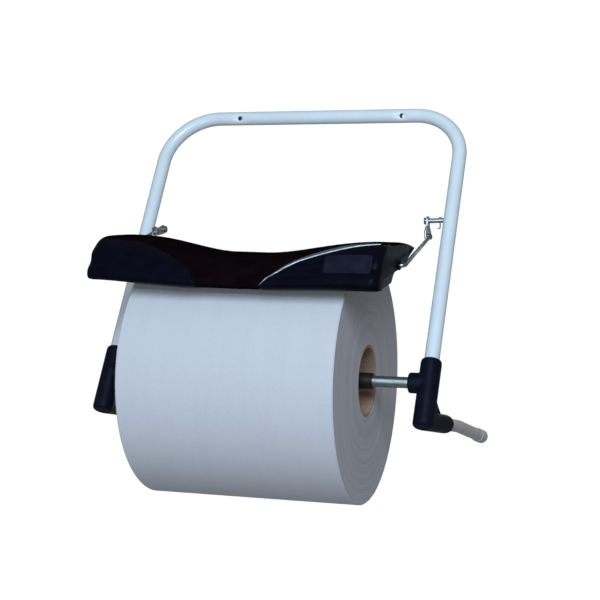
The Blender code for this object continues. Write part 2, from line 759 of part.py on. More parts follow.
# Roll
def core_hub(side, parent):
    """Moulded spider: a rim against the core, spokes, and a boss on the sleeve."""
    outer = CORE_DIAMETER / 2 - CORE_WALL - CLEARANCE
    rim = outer - HUB_RIM
    bore = SLEEVE_DIAMETER / 2 + SNUG
    boss = bore + HUB_BOSS
    half = HUB_WIDTH / 2
    web = HUB_WEB / 2
    sign = SIDES[side]
    frame = axis_frame(axle_point(sign * (HALF_ROLL - HUB_INSET)), X_AXIS * sign, Z_AXIS)
    outline = [
        (bore, -half), (boss, -half), (boss, -web), (rim, -web), (rim, -half), (outer, -half),
        (outer, half), (rim, half), (rim, web), (boss, web), (boss, half), (bore, half),
    ]
    hub = turned(side + "_core_hub", outline, frame, HUB_SIDES)
    for k in range(HUB_SPOKES):
        turn = frame @ Matrix.Rotation(math.tau * k / HUB_SPOKES, 4, "Z")
        cut(hub, hub_window(turn, boss, rim, web))
    return finish(hub, NYLON, parent)


def hub_window(frame, boss, rim, web):
    """Opening between two spokes, with its sides parallel to them."""
    half_spoke = HUB_SPOKE_WIDTH / 2
    near = boss + CLEARANCE * 4
    far = rim - CLEARANCE * 4
    spread = math.pi / HUB_SPOKES
    near_turn = spread - math.asin(half_spoke / near)
    far_turn = spread - math.asin(half_spoke / far)
    outline = []
    for i in range(4):
        a = -far_turn + 2 * far_turn * i / 3
        outline.append((far * math.cos(a), far * math.sin(a)))
    for i in range(3):
        a = near_turn - near_turn * i
        outline.append((near * math.cos(a), near * math.sin(a)))
    reach = web + OVERRUN / 2
    rings = [[frame @ Vector((x, y, z)) for x, y in outline] for z in (-reach, reach)]
    return loft("window", rings)


def core_tube(parent):
    outer = CORE_DIAMETER / 2
    outline = ring_outline(outer - CORE_WALL, outer, 0, ROLL_WIDTH - 2 * CORE_INSET)
    frame = axis_frame(axle_point(-HALF_ROLL + CORE_INSET), X_AXIS, Z_AXIS)
    return finish(turned("core_tube", outline, frame, CORE_SIDES), CARDBOARD, parent)


def paper_roll(parent):
    inner = CORE_DIAMETER / 2 + SNUG
    edge = ROLL_EDGE
    outline = [
        (inner, 0), (ROLL_RADIUS - edge, 0), (ROLL_RADIUS, edge),
        (ROLL_RADIUS, ROLL_WIDTH - edge), (ROLL_RADIUS - edge, ROLL_WIDTH), (inner, ROLL_WIDTH),
    ]
    frame = axis_frame(axle_point(-HALF_ROLL), X_AXIS, Z_AXIS)
    return finish(turned("paper_roll", outline, frame, ROLL_SIDES), PAPER, parent)


def loose_sheet(parent):
    """Free end of the paper, which comes forward over the roll and out under the hood's lip."""
    inner = ROLL_RADIUS + CLEARANCE
    outer = inner + SHEET_THICKNESS
    half = HALF_ROLL - SHEET_NARROWER
    rings = []
    for i in range(SHEET_STEPS + 1):
        a = SHEET_START + (SHEET_END - SHEET_START) * i / SHEET_STEPS
        ring = []
        for along, radius in ((-half, inner), (half, inner), (half, outer), (-half, outer)):
            ring.append(axle_point(along, -radius * math.cos(a), radius * math.sin(a)))
        rings.append(ring)
    return finish(loft("loose_sheet", rings), PAPER, parent)


# Cover
COVER_FRAME = (
    Matrix.Translation(AXLE_CENTRE + X_AXIS * COVER_SHIFT + Z_AXIS * COVER_TILT_RISE) @ Matrix.Rotation(COVER_TILT, 4, "Y")
)
COVER_TOP_MID = SEAT_RADIUS + COVER_WALL + COVER_MID_RISE
COVER_LOW_MID = COVER_TOP_MID - COVER_MID_HEIGHT
COVER_TOP_END = COVER_TOP_MID + COVER_END_RISE
COVER_LOW_END = COVER_TOP_END - COVER_END_HEIGHT


def blend(x):
    """0 in the middle of the hood, where it sits on the roll, and 1 at its raised ends."""
    t = min(abs(x) / COVER_BLEND_REACH, 1)
    return t * t * (3 - 2 * t)


def shares_to_points(shares, low, height):
    return [(COVER_REAR - COVER_DEPTH * u, low + height * v) for u, v in shares]


def cover_outline(x, inset=0, rounding=0):
    """The hood's outline at one place along its length, as (y, z) points, moved inwards."""
    w = blend(x)
    ends = shares_to_points(END_OUTLINE_SHARES, COVER_LOW_END, COVER_END_HEIGHT)
    mids = shares_to_points(MID_OUTLINE_SHARES, COVER_LOW_MID, COVER_MID_HEIGHT)
    points = [Vector(m).lerp(Vector(e), w) for m, e in zip(mids, ends)]
    if not (inset or rounding):
        return points
    swept = [point + Vector((rounding * share, 0)) for point, share in zip(points, END_BACK_SHARES)]
    return offset_outline(swept, [inset + rounding * share for share in END_ROUND_SHARES])


def offset_outline(points, insets):
    """Move an open outline inwards, square to itself at each point."""
    moved = []
    last = len(points) - 1
    for i, point in enumerate(points):
        out = (points[min(i + 1, last)] - points[min(i, last - 1)]).normalized()
        into = (points[max(i, 1)] - points[max(i - 1, 0)]).normalized()
        along = (into + out).normalized()
        normal = Vector((-along.y, along.x))
        moved.append(point + normal * insets[i] / along.dot(into))
    return moved


def cover_stations(wall):
    """(place, rounding) along the hood: even steps, then closer ones round each end's edge."""
    straight = HALF_COVER - COVER_END_ROUND
    radius = COVER_END_ROUND - wall
    count = 2 * round(straight / COVER_STATION_GAP)
    stations = [(-straight + 2 * straight * i / count, 0) for i in range(count + 1)]
    right = []
    for i in range(1, COVER_END_STEPS + 1):
        a = math.pi / 2 * i / COVER_END_STEPS
        right.append((straight + radius * math.sin(a), radius * (1 - math.cos(a))))
    left = [(-x, rounding) for x, rounding in reversed(right)]
    return left + stations + right


def end_edge(rounding=0, w=1):
    """Lower edge of the hood's end walls, as (y, z) points from the lip to the rear edge."""
    low = COVER_LOW_MID + (COVER_LOW_END - COVER_LOW_MID) * w
    height = COVER_MID_HEIGHT + (COVER_END_HEIGHT - COVER_MID_HEIGHT) * w
    edge = []
    for u, v, up_share, back_share in END_EDGE_SHARES:
        (point,) = shares_to_points([(u, v)], low, height)
        edge.append(Vector(point) + Vector((rounding * back_share, rounding * up_share)))
    return edge


def hood_block():
    """Outside of the hood, filled in down to the end walls' lower edge."""
    rings = []
    for x, rounding in cover_stations(0):
        section = cover_outline(x, 0, rounding) + end_edge(rounding, blend(x))
        rings.append([(x, y, z) for y, z in section])
    return loft("cover_shell", rings)


def hood_hollow():
    """Inside of the hood, carried on past its open rear and underside."""
    rings = []
    for x, rounding in cover_stations(COVER_WALL):
        skin = cover_outline(x, COVER_WALL, rounding)
        slope = (skin[0] - skin[1]).normalized()
        behind = skin[0] + slope * COVER_DEPTH / 4
        below = COVER_LOW_MID - COVER_DEPTH / 4
        closing = [Vector((skin[-1].x, below)), Vector((behind.x, below)), behind]
        rings.append([(x, y, z) for y, z in skin + closing])
    return loft("hollow", rings)


def cover_shell(parent):
    """Moulded hood: one even wall, open below and behind, with wedge-shaped end walls."""
    shell = cut(hood_block(), hood_hollow())
    for side in SIDES:
        add_lug(shell, side)
        cut_slot(shell, side)
    shell.data.transform(COVER_FRAME)
    return finish(shell, GLOSS_BLACK, parent)


def share_point(shares):
    (u, v) = shares
    return Vector((0, COVER_REAR - COVER_DEPTH * u, COVER_LOW_END + COVER_END_HEIGHT * v))


def add_lug(shell, side):
    """Round pad on the end wall, bored for the wire that carries the hood."""
    sign = SIDES[side]
    place = share_point(LUG_SHARES)
    start = place + X_AXIS * sign * (HALF_COVER - COVER_WALL - LUG_INSIDE)
    end = place + X_AXIS * sign * (HALF_COVER + LUG_THICKNESS)
    fuse(shell, rod_between("lug", start, end, LUG_DIAMETER, LUG_SIDES))
    start = place + X_AXIS * sign * (HALF_COVER - COVER_WALL - OVERRUN)
    end = place + X_AXIS * sign * (HALF_COVER + LUG_THICKNESS + OVERRUN)
    cut(shell, rod_between("lug_hole", start, end, WIRE_DIAMETER + 2 * CLEARANCE, ROUND_SIDES))


def cut_slot(shell, side):
    """Round-ended slot in the end wall, along its rising lower edge."""
    sign = SIDES[side]
    place = share_point(SLOT_SHARES)
    edge = end_edge()
    rise = edge[-1] - edge[-2]
    along = Vector((0, rise.x, rise.y)).normalized()
    across = X_AXIS.cross(along)
    half = (SLOT_LENGTH - SLOT_WIDTH) / 2
    rings = []
    for x in (HALF_COVER - COVER_WALL - OVERRUN, HALF_COVER + OVERRUN):
        ring = []
        for k in range(SLOT_SIDES):
            a = math.tau * (k + 0.5) / SLOT_SIDES
            end = half if math.cos(a) > 0 else -half
            reach = along * (end + SLOT_WIDTH / 2 * math.cos(a)) + across * (SLOT_WIDTH / 2 * math.sin(a))
            ring.append(place + X_AXIS * sign * x + reach)
        rings.append(ring)
    cut(shell, loft("slot", rings))


def outline_place(x, share):
    """Point and outward direction at a share of the way along the hood's outline."""
    points = cover_outline(x)
    spans = list(zip(points, points[1:]))
    left = share * sum((b - a).length for a, b in spans)
    for a, b in spans:
        length = (b - a).length
        if left <= length or b == points[-1]:
            break
        left -= length
    along = (b - a) / length
    spot = a + along * left
    return Vector((x, spot.x, spot.y)), Vector((0, along.y, -along.x))


def smooth_normal(x, share):
    """Outward direction averaged over a short way each side."""
    near = 0.02
    total = Vector((0, 0, 0))
    for step in (-near, -near / 2, 0, near / 2, near):
        total += outline_place(x, min(max(share + step, 0), 1))[1]
    return total.normalized()


def trim_arc(parent):
    """Tapered strip that sweeps up over the hood's front."""
    path = []
    for first, second in zip(TRIM_SHARES, TRIM_SHARES[1:]):
        for i in range(TRIM_STEPS_PER_SPAN):
            t = i / TRIM_STEPS_PER_SPAN
            path.append([a + (b - a) * t for a, b in zip(first, second)])
    path.append(list(TRIM_SHARES[-1]))
    spots = [outline_place(x * HALF_COVER, share)[0] for x, share, _ in path]
    rings = []
    for i, (x, share, width_share) in enumerate(path):
        along = (spots[min(i + 1, len(spots) - 1)] - spots[max(i - 1, 0)]).normalized()
        normal = smooth_normal(x * HALF_COVER, share)
        across = along.cross(normal).normalized()
        half = TRIM_WIDTH * width_share / 2
        low = CLEARANCE * 2
        high = low + TRIM_THICKNESS
        ring = []
        for side_step, up in ((-1, low), (1, low), (0.8, high), (-0.8, high)):
            ring.append(COVER_FRAME @ (spots[i] + across * (half * side_step) + normal * up))
        rings.append(ring)
    return finish(loft("cover_trim_arc", rings), SILVER, parent)


def name_plate(parent):
    """Bare plate that follows the hood's front."""
    rings = []
    for i in range(PLATE_STEPS + 1):
        share_x = PLATE_FROM_SHARE + (PLATE_TO_SHARE - PLATE_FROM_SHARE) * i / PLATE_STEPS
        x = share_x * HALF_COVER
        low_ring = []
        high_ring = []
        for k in range(PLATE_STEPS + 1):
            share = PLATE_HIGH_SHARE + (PLATE_LOW_SHARE - PLATE_HIGH_SHARE) * k / PLATE_STEPS
            spot, _ = outline_place(x, share)
            normal = smooth_normal(x, share)
            low_ring.append(COVER_FRAME @ (spot + normal * CLEARANCE * 2))
            high_ring.append(COVER_FRAME @ (spot + normal * (CLEARANCE * 2 + PLATE_THICKNESS)))
        rings.append(low_ring + list(reversed(high_ring)))
    return finish(loft("cover_plate", rings), BLACK_PLASTIC, parent)


def tear_strip(parent):
    """Toothed strip that hangs behind the lip from the ridge of its notch."""
    reach = HALF_COVER - STRIP_SHORTER
    rings = []
    for k in range(2 * TEETH + 1):
        x = -reach + reach * k / TEETH
        notch = cover_outline(x, COVER_WALL + CLEARANCE)[STRIP_NOTCH]
        lip = cover_outline(x)[-1]
        low = lip.y + STRIP_ABOVE_LIP + (0 if k % 2 else TOOTH_DEPTH)
        ring = []
        for back, z in ((0, low), (STRIP_THICKNESS, low), (STRIP_THICKNESS, notch.y), (0, notch.y)):
            ring.append(COVER_FRAME @ Vector((x, notch.x + back, z)))
        rings.append(ring)
    return finish(loft("tear_strip", rings), ZINC, parent)


# Arms
def stud_centre(side):
    """Where the link turns on its stud, beside the leg."""
    up = STUD_UP[side]
    return AXLE_CENTRE + Vector((SIDES[side] * STUD_OUT + COVER_SHIFT, up * math.tan(LEG_LEAN), up))


def stud_direction(side):
    """Along the line through both studs, outwards."""
    line = (stud_centre("right") - stud_centre("left")).normalized()
    return line * SIDES[side]


def stud_ends(side):
    """Outer end inside the leg's tube, and inner end inside the link."""
    direction = stud_direction(side)
    centre = stud_centre(side)
    to_leg = (HALF_WIDTH - abs(centre.x)) / abs(direction.x)
    return centre + direction * (to_leg - TUBE_RADIUS + STUD_IN_LEG), centre - direction * STUD_INNER


def pivot_stud(side):
    """Headed stud, fixed in the leg, with a cross hole for its split pin."""
    outer_end, inner_end = stud_ends(side)
    direction = stud_direction(side)
    in_head = inner_end - direction * STUD_HEAD / 2
    stud = rod_between(side + "_pivot_stud", in_head, outer_end, STUD_DIAMETER, ROUND_SIDES)
    head_end = inner_end - direction * STUD_HEAD
    fuse(stud, rod_between("head", head_end, inner_end, STUD_HEAD_DIAMETER, ROUND_SIDES))
    middle = pin_centre(side)
    cut(stud, rod_between(
        "pin_hole", middle - Z_AXIS * STUD_DIAMETER, middle + Z_AXIS * STUD_DIAMETER,
        PIN_DIAMETER + 2 * CLEARANCE, 10,
    ))
    return finish(stud, ZINC)


def pin_centre(side):
    """On the stud's axis, just clear of the leg."""
    direction = stud_direction(side)
    centre = stud_centre(side)
    out = (HALF_WIDTH - TUBE_RADIUS - PIN_FROM_LEG - abs(centre.x)) / abs(direction.x)
    return centre + direction * out


def split_pin(side):
    """Pin hanging through the stud, with a button head on top."""
    middle = pin_centre(side)
    top = middle + Z_AXIS * (STUD_DIAMETER / 2 + CLEARANCE)
    in_head = top + Z_AXIS * PIN_HEAD / 2
    pin = rod_between(side + "_stud_pin", middle - Z_AXIS * PIN_BELOW, in_head, PIN_DIAMETER, 12)
    fuse(pin, rod_between("head", top, top + Z_AXIS * PIN_HEAD, PIN_HEAD_DIAMETER, 12))
    return finish(pin, ZINC)


def link_frame(side):
    """Z outwards along the studs' line; X from the stud towards the wire's eye."""
    hang = Matrix.Rotation(LINK_TURN[side], 3, "X") @ -Z_AXIS
    return axis_frame(stud_centre(side), stud_direction(side), hang)


def link(side, parent):
    """Teardrop plate: a large eye on the stud and a small one at the rivet."""
    frame = link_frame(side)
    half = LINK_THICKNESS / 2
    big = LINK_TOP_DIAMETER / 2
    small = LINK_FOOT_DIAMETER / 2
    lean = math.asin((big - small) / LINK_LENGTH)
    outline = []
    steps = 8
    for i in range(steps + 1):
        a = math.pi / 2 - lean + (math.pi + 2 * lean) * i / steps
        outline.append((big * math.cos(a), big * math.sin(a)))
    for i in range(steps + 1):
        a = -(math.pi / 2 - lean) + (math.pi - 2 * lean) * i / steps
        outline.append((LINK_LENGTH + small * math.cos(a), small * math.sin(a)))
    rings = [[frame @ Vector((x, y, z)) for x, y in outline] for z in (-half, half)]
    plate = loft(side + "_arm_link", rings)
    for along, hole in ((0, STUD_DIAMETER), (LINK_LENGTH, RIVET_DIAMETER)):
        start = frame @ Vector((along, 0, -LINK_THICKNESS))
        end = frame @ Vector((along, 0, LINK_THICKNESS))
        cut(plate, rod_between("link_hole", start, end, hole + 2 * CLEARANCE, ROUND_SIDES))
    return finish(plate, ZINC, parent)


def wire_eye_place(side, thickness):
    """Middle of the wire's end, outside the link, where it is of one thickness."""
    out = LINK_THICKNESS / 2 + CLEARANCE + thickness / 2
    return link_frame(side) @ Vector((LINK_LENGTH, 0, out))


def rivet(side, parent):
    """Round-headed rivet through the link and the wire's eye."""
    frame = link_frame(side)
    low = -LINK_THICKNESS / 2 - SNUG
    high = LINK_THICKNESS / 2 + CLEARANCE + WIRE_EYE_THICKNESS + SNUG
    shank = RIVET_DIAMETER / 2
    head = RIVET_HEAD_DIAMETER / 2
    outline = [
        (0, low - RIVET_HEAD), (head * 0.7, low - RIVET_HEAD * 0.8), (head, low), (shank, low),
        (shank, high), (head, high), (head * 0.7, high + RIVET_HEAD * 0.8), (0, high + RIVET_HEAD),
    ]
    place = frame @ Matrix.Translation((LINK_LENGTH, 0, 0))
    return finish(turned(side + "_arm_rivet", outline, place, ROUND_SIDES), ZINC, parent)


def lug_place(side):
    return COVER_FRAME @ (share_point(LUG_SHARES) + X_AXIS * SIDES[side] * HALF_COVER)


def wire_corner(side):
    """Where the wire's outer run would meet its turned-in end."""
    outward = LUG_THICKNESS + WIRE_BEND_RADIUS + 2 * CLEARANCE
    return lug_place(side) + COVER_FRAME.to_3x3() @ (X_AXIS * SIDES[side] * outward)


def arm_wire(side, parent):
    """Bent wire: an eye at the rivet, a straight run, and an end turned in through the lug."""
    start = wire_eye_place(side, WIRE_DIAMETER)
    corner = wire_corner(side)
    inward = COVER_FRAME.to_3x3() @ (X_AXIS * -SIDES[side])
    tip = lug_place(side) + inward * (COVER_WALL + WIRE_THROUGH)
    path = corner_path([start, corner, tip], WIRE_BEND_RADIUS, WIRE_BEND_STEPS)
    first = (path[1] - path[0]).normalized()
    path[0] = path[0] + first * (WIRE_EYE_DIAMETER / 2 - WIRE_EYE_OVERLAP)
    wire = swept_rod(side + "_arm_wire", path, WIRE_DIAMETER, WIRE_SIDES)
    frame = link_frame(side)
    half = WIRE_EYE_THICKNESS / 2
    centre = frame.inverted() @ wire_eye_place(side, WIRE_EYE_THICKNESS)
    start = frame @ (centre - Z_AXIS * half)
    end = frame @ (centre + Z_AXIS * half)
    fuse(wire, rod_between("eye", start, end, WIRE_EYE_DIAMETER, 24))
    low = frame @ (centre - Z_AXIS * (half + OVERRUN / 2))
    high = frame @ (centre + Z_AXIS * (half + OVERRUN / 2))
    cut(wire, rod_between("eye_hole", low, high, RIVET_DIAMETER + 2 * CLEARANCE, ROUND_SIDES))
    return finish(wire, ZINC, parent)


def wire_cap(side, parent):
    """Push-on cap that holds the wire's end inside the hood."""
    inward = COVER_FRAME.to_3x3() @ (X_AXIS * -SIDES[side])
    start = lug_place(side) + inward * (COVER_WALL + LUG_INSIDE + CLEARANCE)
    frame = axis_frame(start, inward, Y_AXIS)
    inner = WIRE_DIAMETER / 2 + SNUG
    outer = WIRE_CAP_DIAMETER / 2
    outline = [
        (inner, 0), (outer, 0), (outer, WIRE_CAP_THICKNESS * 0.4),
        (inner + WIRE_CAP_THICKNESS * 0.5, WIRE_CAP_THICKNESS), (inner, WIRE_CAP_THICKNESS),
    ]
    return finish(turned(side + "_wire_cap", outline, frame, ROUND_SIDES), ZINC, parent)


def joint_empty(name, place):
    empty = bpy.data.objects.new(name, None)
    empty.empty_display_size = ROD_DIAMETER
    empty.matrix_world = place
    bpy.context.scene.collection.objects.link(empty)
    bpy.context.view_layer.update()
    return empty


def main():
    for thing in list(bpy.data.objects):
        bpy.data.objects.remove(thing)

    roll_axis = joint_empty("roll_axis", Matrix.Translation(AXLE_CENTRE))
    slide_axis = joint_empty("slide_axis", Matrix.Translation(axle_point(BOSS_FACE)))
    between = (stud_centre("left") + stud_centre("right")) / 2
    cover_axis = joint_empty("cover_axis", axis_frame(between, stud_direction("right"), Z_AXIS))

    frame_tube()
    for side in SIDES:
        elbow(side)
        standoff_tube(side)
        standoff_cap(side)
        pivot_stud(side)
        split_pin(side)
    fixed_rod()
    axle_spring()

    sprung_rod(slide_axis)

    sleeve(roll_axis)
    core_tube(roll_axis)
    paper_roll(roll_axis)
    loose_sheet(roll_axis)
    for side in SIDES:
        sleeve_bush(side, roll_axis)
        core_hub(side, roll_axis)

    cover_shell(cover_axis)
    trim_arc(cover_axis)
    name_plate(cover_axis)
    tear_strip(cover_axis)
    for side in SIDES:
        link(side, cover_axis)
        rivet(side, cover_axis)
        arm_wire(side, cover_axis)
        wire_cap(side, cover_axis)


main()
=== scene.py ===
# Looks of the roll dispenser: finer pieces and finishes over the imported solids.
# Metres, +Z up. The wall is the plane Y = 0 and the viewer stands on the -Y side.

from math import asin, atan2, copysign, cos, exp, pi, radians, sin, tan, tau

import bmesh
import bpy
import numpy as np
from mathutils import Matrix, Vector, noise


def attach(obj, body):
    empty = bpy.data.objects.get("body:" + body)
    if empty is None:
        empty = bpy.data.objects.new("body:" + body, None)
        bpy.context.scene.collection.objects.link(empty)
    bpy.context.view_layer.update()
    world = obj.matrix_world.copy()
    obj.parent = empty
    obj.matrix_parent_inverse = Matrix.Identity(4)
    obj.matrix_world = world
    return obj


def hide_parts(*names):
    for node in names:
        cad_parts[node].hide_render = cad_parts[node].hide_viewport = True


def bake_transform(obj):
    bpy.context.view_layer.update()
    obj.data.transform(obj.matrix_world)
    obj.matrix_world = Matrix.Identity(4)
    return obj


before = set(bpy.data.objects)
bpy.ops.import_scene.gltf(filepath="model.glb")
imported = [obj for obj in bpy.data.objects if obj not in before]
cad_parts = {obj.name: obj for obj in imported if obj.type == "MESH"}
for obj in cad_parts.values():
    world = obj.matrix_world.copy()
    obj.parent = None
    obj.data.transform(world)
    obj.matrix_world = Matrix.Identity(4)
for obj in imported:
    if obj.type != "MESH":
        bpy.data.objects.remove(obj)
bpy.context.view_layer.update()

X = Vector((1, 0, 0))
Y = Vector((0, 1, 0))
Z = Vector((0, 0, 1))
SIDES = {"left": -1, "right": 1}
QUARTER = pi / 2
WELD = 0.000001

# Sizes shared with the solids
LEAN = radians(31.8)
LEG_UP = Vector((0, sin(LEAN), cos(LEAN)))
LEG_NORMAL = Vector((0, cos(LEAN), -sin(LEAN)))
LEG_LENGTH = 0.3388
HALF_WIDTH = 0.182
TUBE = 0.009
AXLE = Vector((0, -TUBE, 0)) - LEG_UP * LEG_LENGTH
HOLES = (-0.0915, 0.109)
GAP = 0.0003
SNUG = 0.00015
BOSS_FACE = 0.161
HALF_ROLL = 0.11625
HALF_SLEEVE = 0.12075
ROLL = 0.131
CORE = 0.0381
CORE_BORE = 0.0351
SLEEVE = 0.0088
SLEEVE_BORE = 0.0074
ROD = 0.006
STANDOFF = 0.0069
STUD = 0.0027
RIVET = 0.0016
WIRE = 0.0022

# Rounding of corners; a corner that bends less than STRAIGHT stays plain
TINY_ROUND = 0.0002
SMALL_ROUND = 0.0005
EDGE_ROUND = 0.0006
STRAIGHT = radians(12)
CORNER_SHARE = 0.45
TIP_START = 0.35

# How far cutting tools reach past a piece
OVERSHOOT = 0.004


def axis_frame(origin, along, towards):
    z = Vector(along).normalized()
    x = (Vector(towards) - z * z.dot(Vector(towards))).normalized()
    return Matrix.Translation(origin) @ Matrix((x, z.cross(x), z)).transposed().to_4x4()


def axle_point(along, forward=0.0, up=0.0):
    return AXLE + Vector((along, -forward, up))


def round_axle(along, radius, angle):
    """A place round the axle; the angle starts at the front and goes up and over."""
    return axle_point(along, radius * cos(angle), radius * sin(angle))


def on_axle(along, sign=1):
    """A frame on the axle whose Z points outwards on one side."""
    return axis_frame(axle_point(along), X * sign, Z)


def leg_point(side, up_leg):
    return AXLE + X * (SIDES[side] * HALF_WIDTH) + LEG_UP * up_leg


def turn_points(count):
    return [tau * k / count for k in range(count)]


def arc(start, end, steps, across, up=None, centre=(0, 0)):
    """Points from one angle to another on a circle, or on an ellipse where up is given."""
    up = across if up is None else up
    angles = np.linspace(start, end, steps + 1)
    return [(centre[0] + across * cos(a), centre[1] + up * sin(a)) for a in angles]


def unit_circle(sides):
    return [(cos(a), sin(a)) for a in turn_points(sides)]


def box(inner, outer, low, high):
    """Outline of a plain turned piece, between two radii and two heights."""
    return [(inner, low), (outer, low), (outer, high), (inner, high)]


def clamped(t):
    return min(max(t, 0), 1)


def eased(t):
    """0 to 1, with a soft start and a soft stop."""
    t = clamped(t)
    return t * t * (3 - 2 * t)


def neighbours(points, i):
    """The points before and after one of them, or that one itself at an end."""
    return points[max(i - 1, 0)], points[min(i + 1, len(points) - 1)]


# Mesh making
def mesh_piece(name, bm):
    bmesh.ops.remove_doubles(bm, verts=bm.verts, dist=WELD)
    bmesh.ops.recalc_face_normals(bm, faces=bm.faces)
    mesh = bpy.data.meshes.new(name)
    bm.to_mesh(mesh)
    bm.free()
    piece = bpy.data.objects.new(name, mesh)
    bpy.context.scene.collection.objects.link(piece)
    return piece


def quads(bm, first, second, open_ended=False):
    """Faces between two rows of points."""
    for i in range(len(first) - open_ended):
        j = (i + 1) % len(first)
        bm.faces.new((first[i], first[j], second[j], second[i]))


def loft(name, rings, closed=False):
    bm = bmesh.new()
    rows = [[bm.verts.new(point) for point in ring] for ring in rings]
    for first, second in zip(rows, rows[1:] + rows[:1] if closed else rows[1:]):
        quads(bm, first, second)
    if not closed:
        bm.faces.new(rows[0])
        bm.faces.new(reversed(rows[-1]))
    return mesh_piece(name, bm)


def lathe(name, outline, place, sides):
    """Turn a closed outline of (radius, height) about the place's Z axis."""
    bm = bmesh.new()
    rows = []
    for radius, height in outline:
        circle = [(0, 0)] if radius < WELD else unit_circle(sides)
        rows.append([bm.verts.new(place @ Vector((radius * x, radius * y, height))) for x, y in circle])
    for first, second in zip(rows, rows[1:] + rows[:1]):
        if len(first) == 1 and len(second) == 1:
            continue
        for i in range(sides):
            j = (i + 1) % sides
            corners = [first[i % len(first)], first[j % len(first)]]
            corners += [second[j % len(second)], second[i % len(second)]]
            bm.faces.new(list(dict.fromkeys(corners)))
    return mesh_piece(name, bm)


def softened(points, radius, steps=3, closed=True):
    """Round every corner of an outline, as a moulded or turned edge is."""
    count = len(points)
    rounded = []
    for i, point in enumerate(points):
        here = Vector(point)
        if not closed and i in (0, count - 1):
            rounded.append(tuple(here))
            continue
        into = Vector(points[i - 1]) - here
        out = Vector(points[(i + 1) % count]) - here
        back = min(radius, into.length * CORNER_SHARE, out.length * CORNER_SHARE)
        if pi - into.angle(out) < STRAIGHT:
            rounded.append(tuple(here))
            continue
        start = here + into.normalized() * back
        end = here + out.normalized() * back
        for k in range(steps + 1):
            t = k / steps
            rounded.append(tuple(start * (1 - t) ** 2 + here * (2 * t * (1 - t)) + end * t ** 2))
    return rounded


def turned(name, outline, place, radius=0.0004, sides=64, steps=3):
    """A turned piece with broken corners; its outline is open where it meets the axis."""
    bored = outline[0][0] > 0
    return lathe(name, softened(outline, radius, steps, closed=bored), place, sides)


def corner_path(points, radius, steps):
    path = [Vector(points[0])]
    for before, here, after in zip(points, points[1:], points[2:]):
        into = (Vector(here) - Vector(before)).normalized()
        out = (Vector(after) - Vector(here)).normalized()
        turn = into.angle(out)
        start = Vector(here) - into * radius * tan(turn / 2)
        inward = (out - into * into.dot(out)).normalized()
        centre = start + inward * radius
        for k in range(steps + 1):
            a = turn * k / steps
            path.append(centre - inward * radius * cos(a) + into * radius * sin(a))
    path.append(Vector(points[-1]))
    return path


def path_rings(path, radii, sides):
    """A round section at each point of the path, square to it and without twist."""
    tangents = []
    for i, point in enumerate(path):
        before, after = neighbours(path, i)
        tangents.append(((point - before).normalized() + (after - point).normalized()).normalized())
    side = tangents[0].orthogonal().normalized()
    rings = []
    for point, tangent, radius in zip(path, tangents, radii):
        side = (side - tangent * tangent.dot(side)).normalized()
        up = tangent.cross(side)
        rings.append([point + (side * x + up * y) * radius for x, y in unit_circle(sides)])
    return rings


def round_ended(path, radius, steps=5):
    """Path and radii of a rod whose two ends are rounded."""
    into = (path[1] - path[0]).normalized()
    back = (path[-2] - path[-1]).normalized()
    angles = [QUARTER * (k + TIP_START) / steps for k in range(steps)]
    dips = [1 - cos(a) for a in angles]
    tips = [radius * sin(a) for a in angles]
    points = [path[0] + into * radius * dip for dip in dips]
    points += [path[0] + into * radius, *path[1:-1], path[-1] + back * radius]
    points += [path[-1] + back * radius * dip for dip in reversed(dips)]
    return points, tips + [radius] * len(path) + tips[::-1]


def wire_piece(name, path, radius, sides):
    points, radii = round_ended(path, radius)
    return loft(name, path_rings(points, radii, sides))


def rod(name, start, end, radius, sides=48, steep=0.9):
    """A plain round bar between two places."""
    along = Vector(end) - Vector(start)
    side = Z if abs(along.normalized().z) < steep else Y
    return lathe(name, box(0, radius, 0, along.length), axis_frame(start, along, side), sides)


def bake(piece):
    """Bake the piece's modifiers into its mesh."""
    old = piece.data
    depsgraph = bpy.context.evaluated_depsgraph_get()
    piece.data = bpy.data.meshes.new_from_object(piece.evaluated_get(depsgraph))
    piece.modifiers.clear()
    bpy.data.meshes.remove(old)


def combine(piece, tool, operation):
    step = piece.modifiers.new(operation, "BOOLEAN")
    step.operation = operation
    step.solver = "EXACT"
    step.object = tool
    bake(piece)
    bpy.data.objects.remove(tool)


def drill(piece, start, end, radius, sides=40):
    combine(piece, rod("hole", start, end, radius, sides), "DIFFERENCE")


def bevel(piece, width, angle):
    step = piece.modifiers.new("edges", "BEVEL")
    step.width = width
    step.segments = 2
    step.limit_method = "ANGLE"
    step.angle_limit = radians(angle)
    bake(piece)


def finished(piece, material, body, solid, sharp=35, other=None, is_other=None):
    """Shade, dress and hang a piece on its body, in place of its solid."""
    piece.data.materials.clear()
    piece.data.materials.append(material)
    if other:
        piece.data.materials.append(other)
        picked = [int(is_other(face)) for face in piece.data.polygons]
        piece.data.polygons.foreach_set("material_index", picked)
    piece.data.shade_smooth()
    piece.data.set_sharp_from_angle(angle=radians(sharp))
    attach(piece, body)
    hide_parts(solid)


# Finishes; a noise field mostly stays between these two
FIELD_LOW = 0.3
FIELD_HIGH = 0.7


def principled(material):
    return material.node_tree.nodes["Principled BSDF"]


def finish(name, colour, roughness, metallic=0.0, **extra):
    material = bpy.data.materials.new(name)
    material.use_nodes = True
    inputs = principled(material).inputs
    inputs["Base Color"].default_value = (*colour, 1)
    inputs["Roughness"].default_value = roughness
    inputs["Metallic"].default_value = metallic
    for socket, value in extra.items():
        inputs[socket.replace("_", " ")].default_value = value
    return material


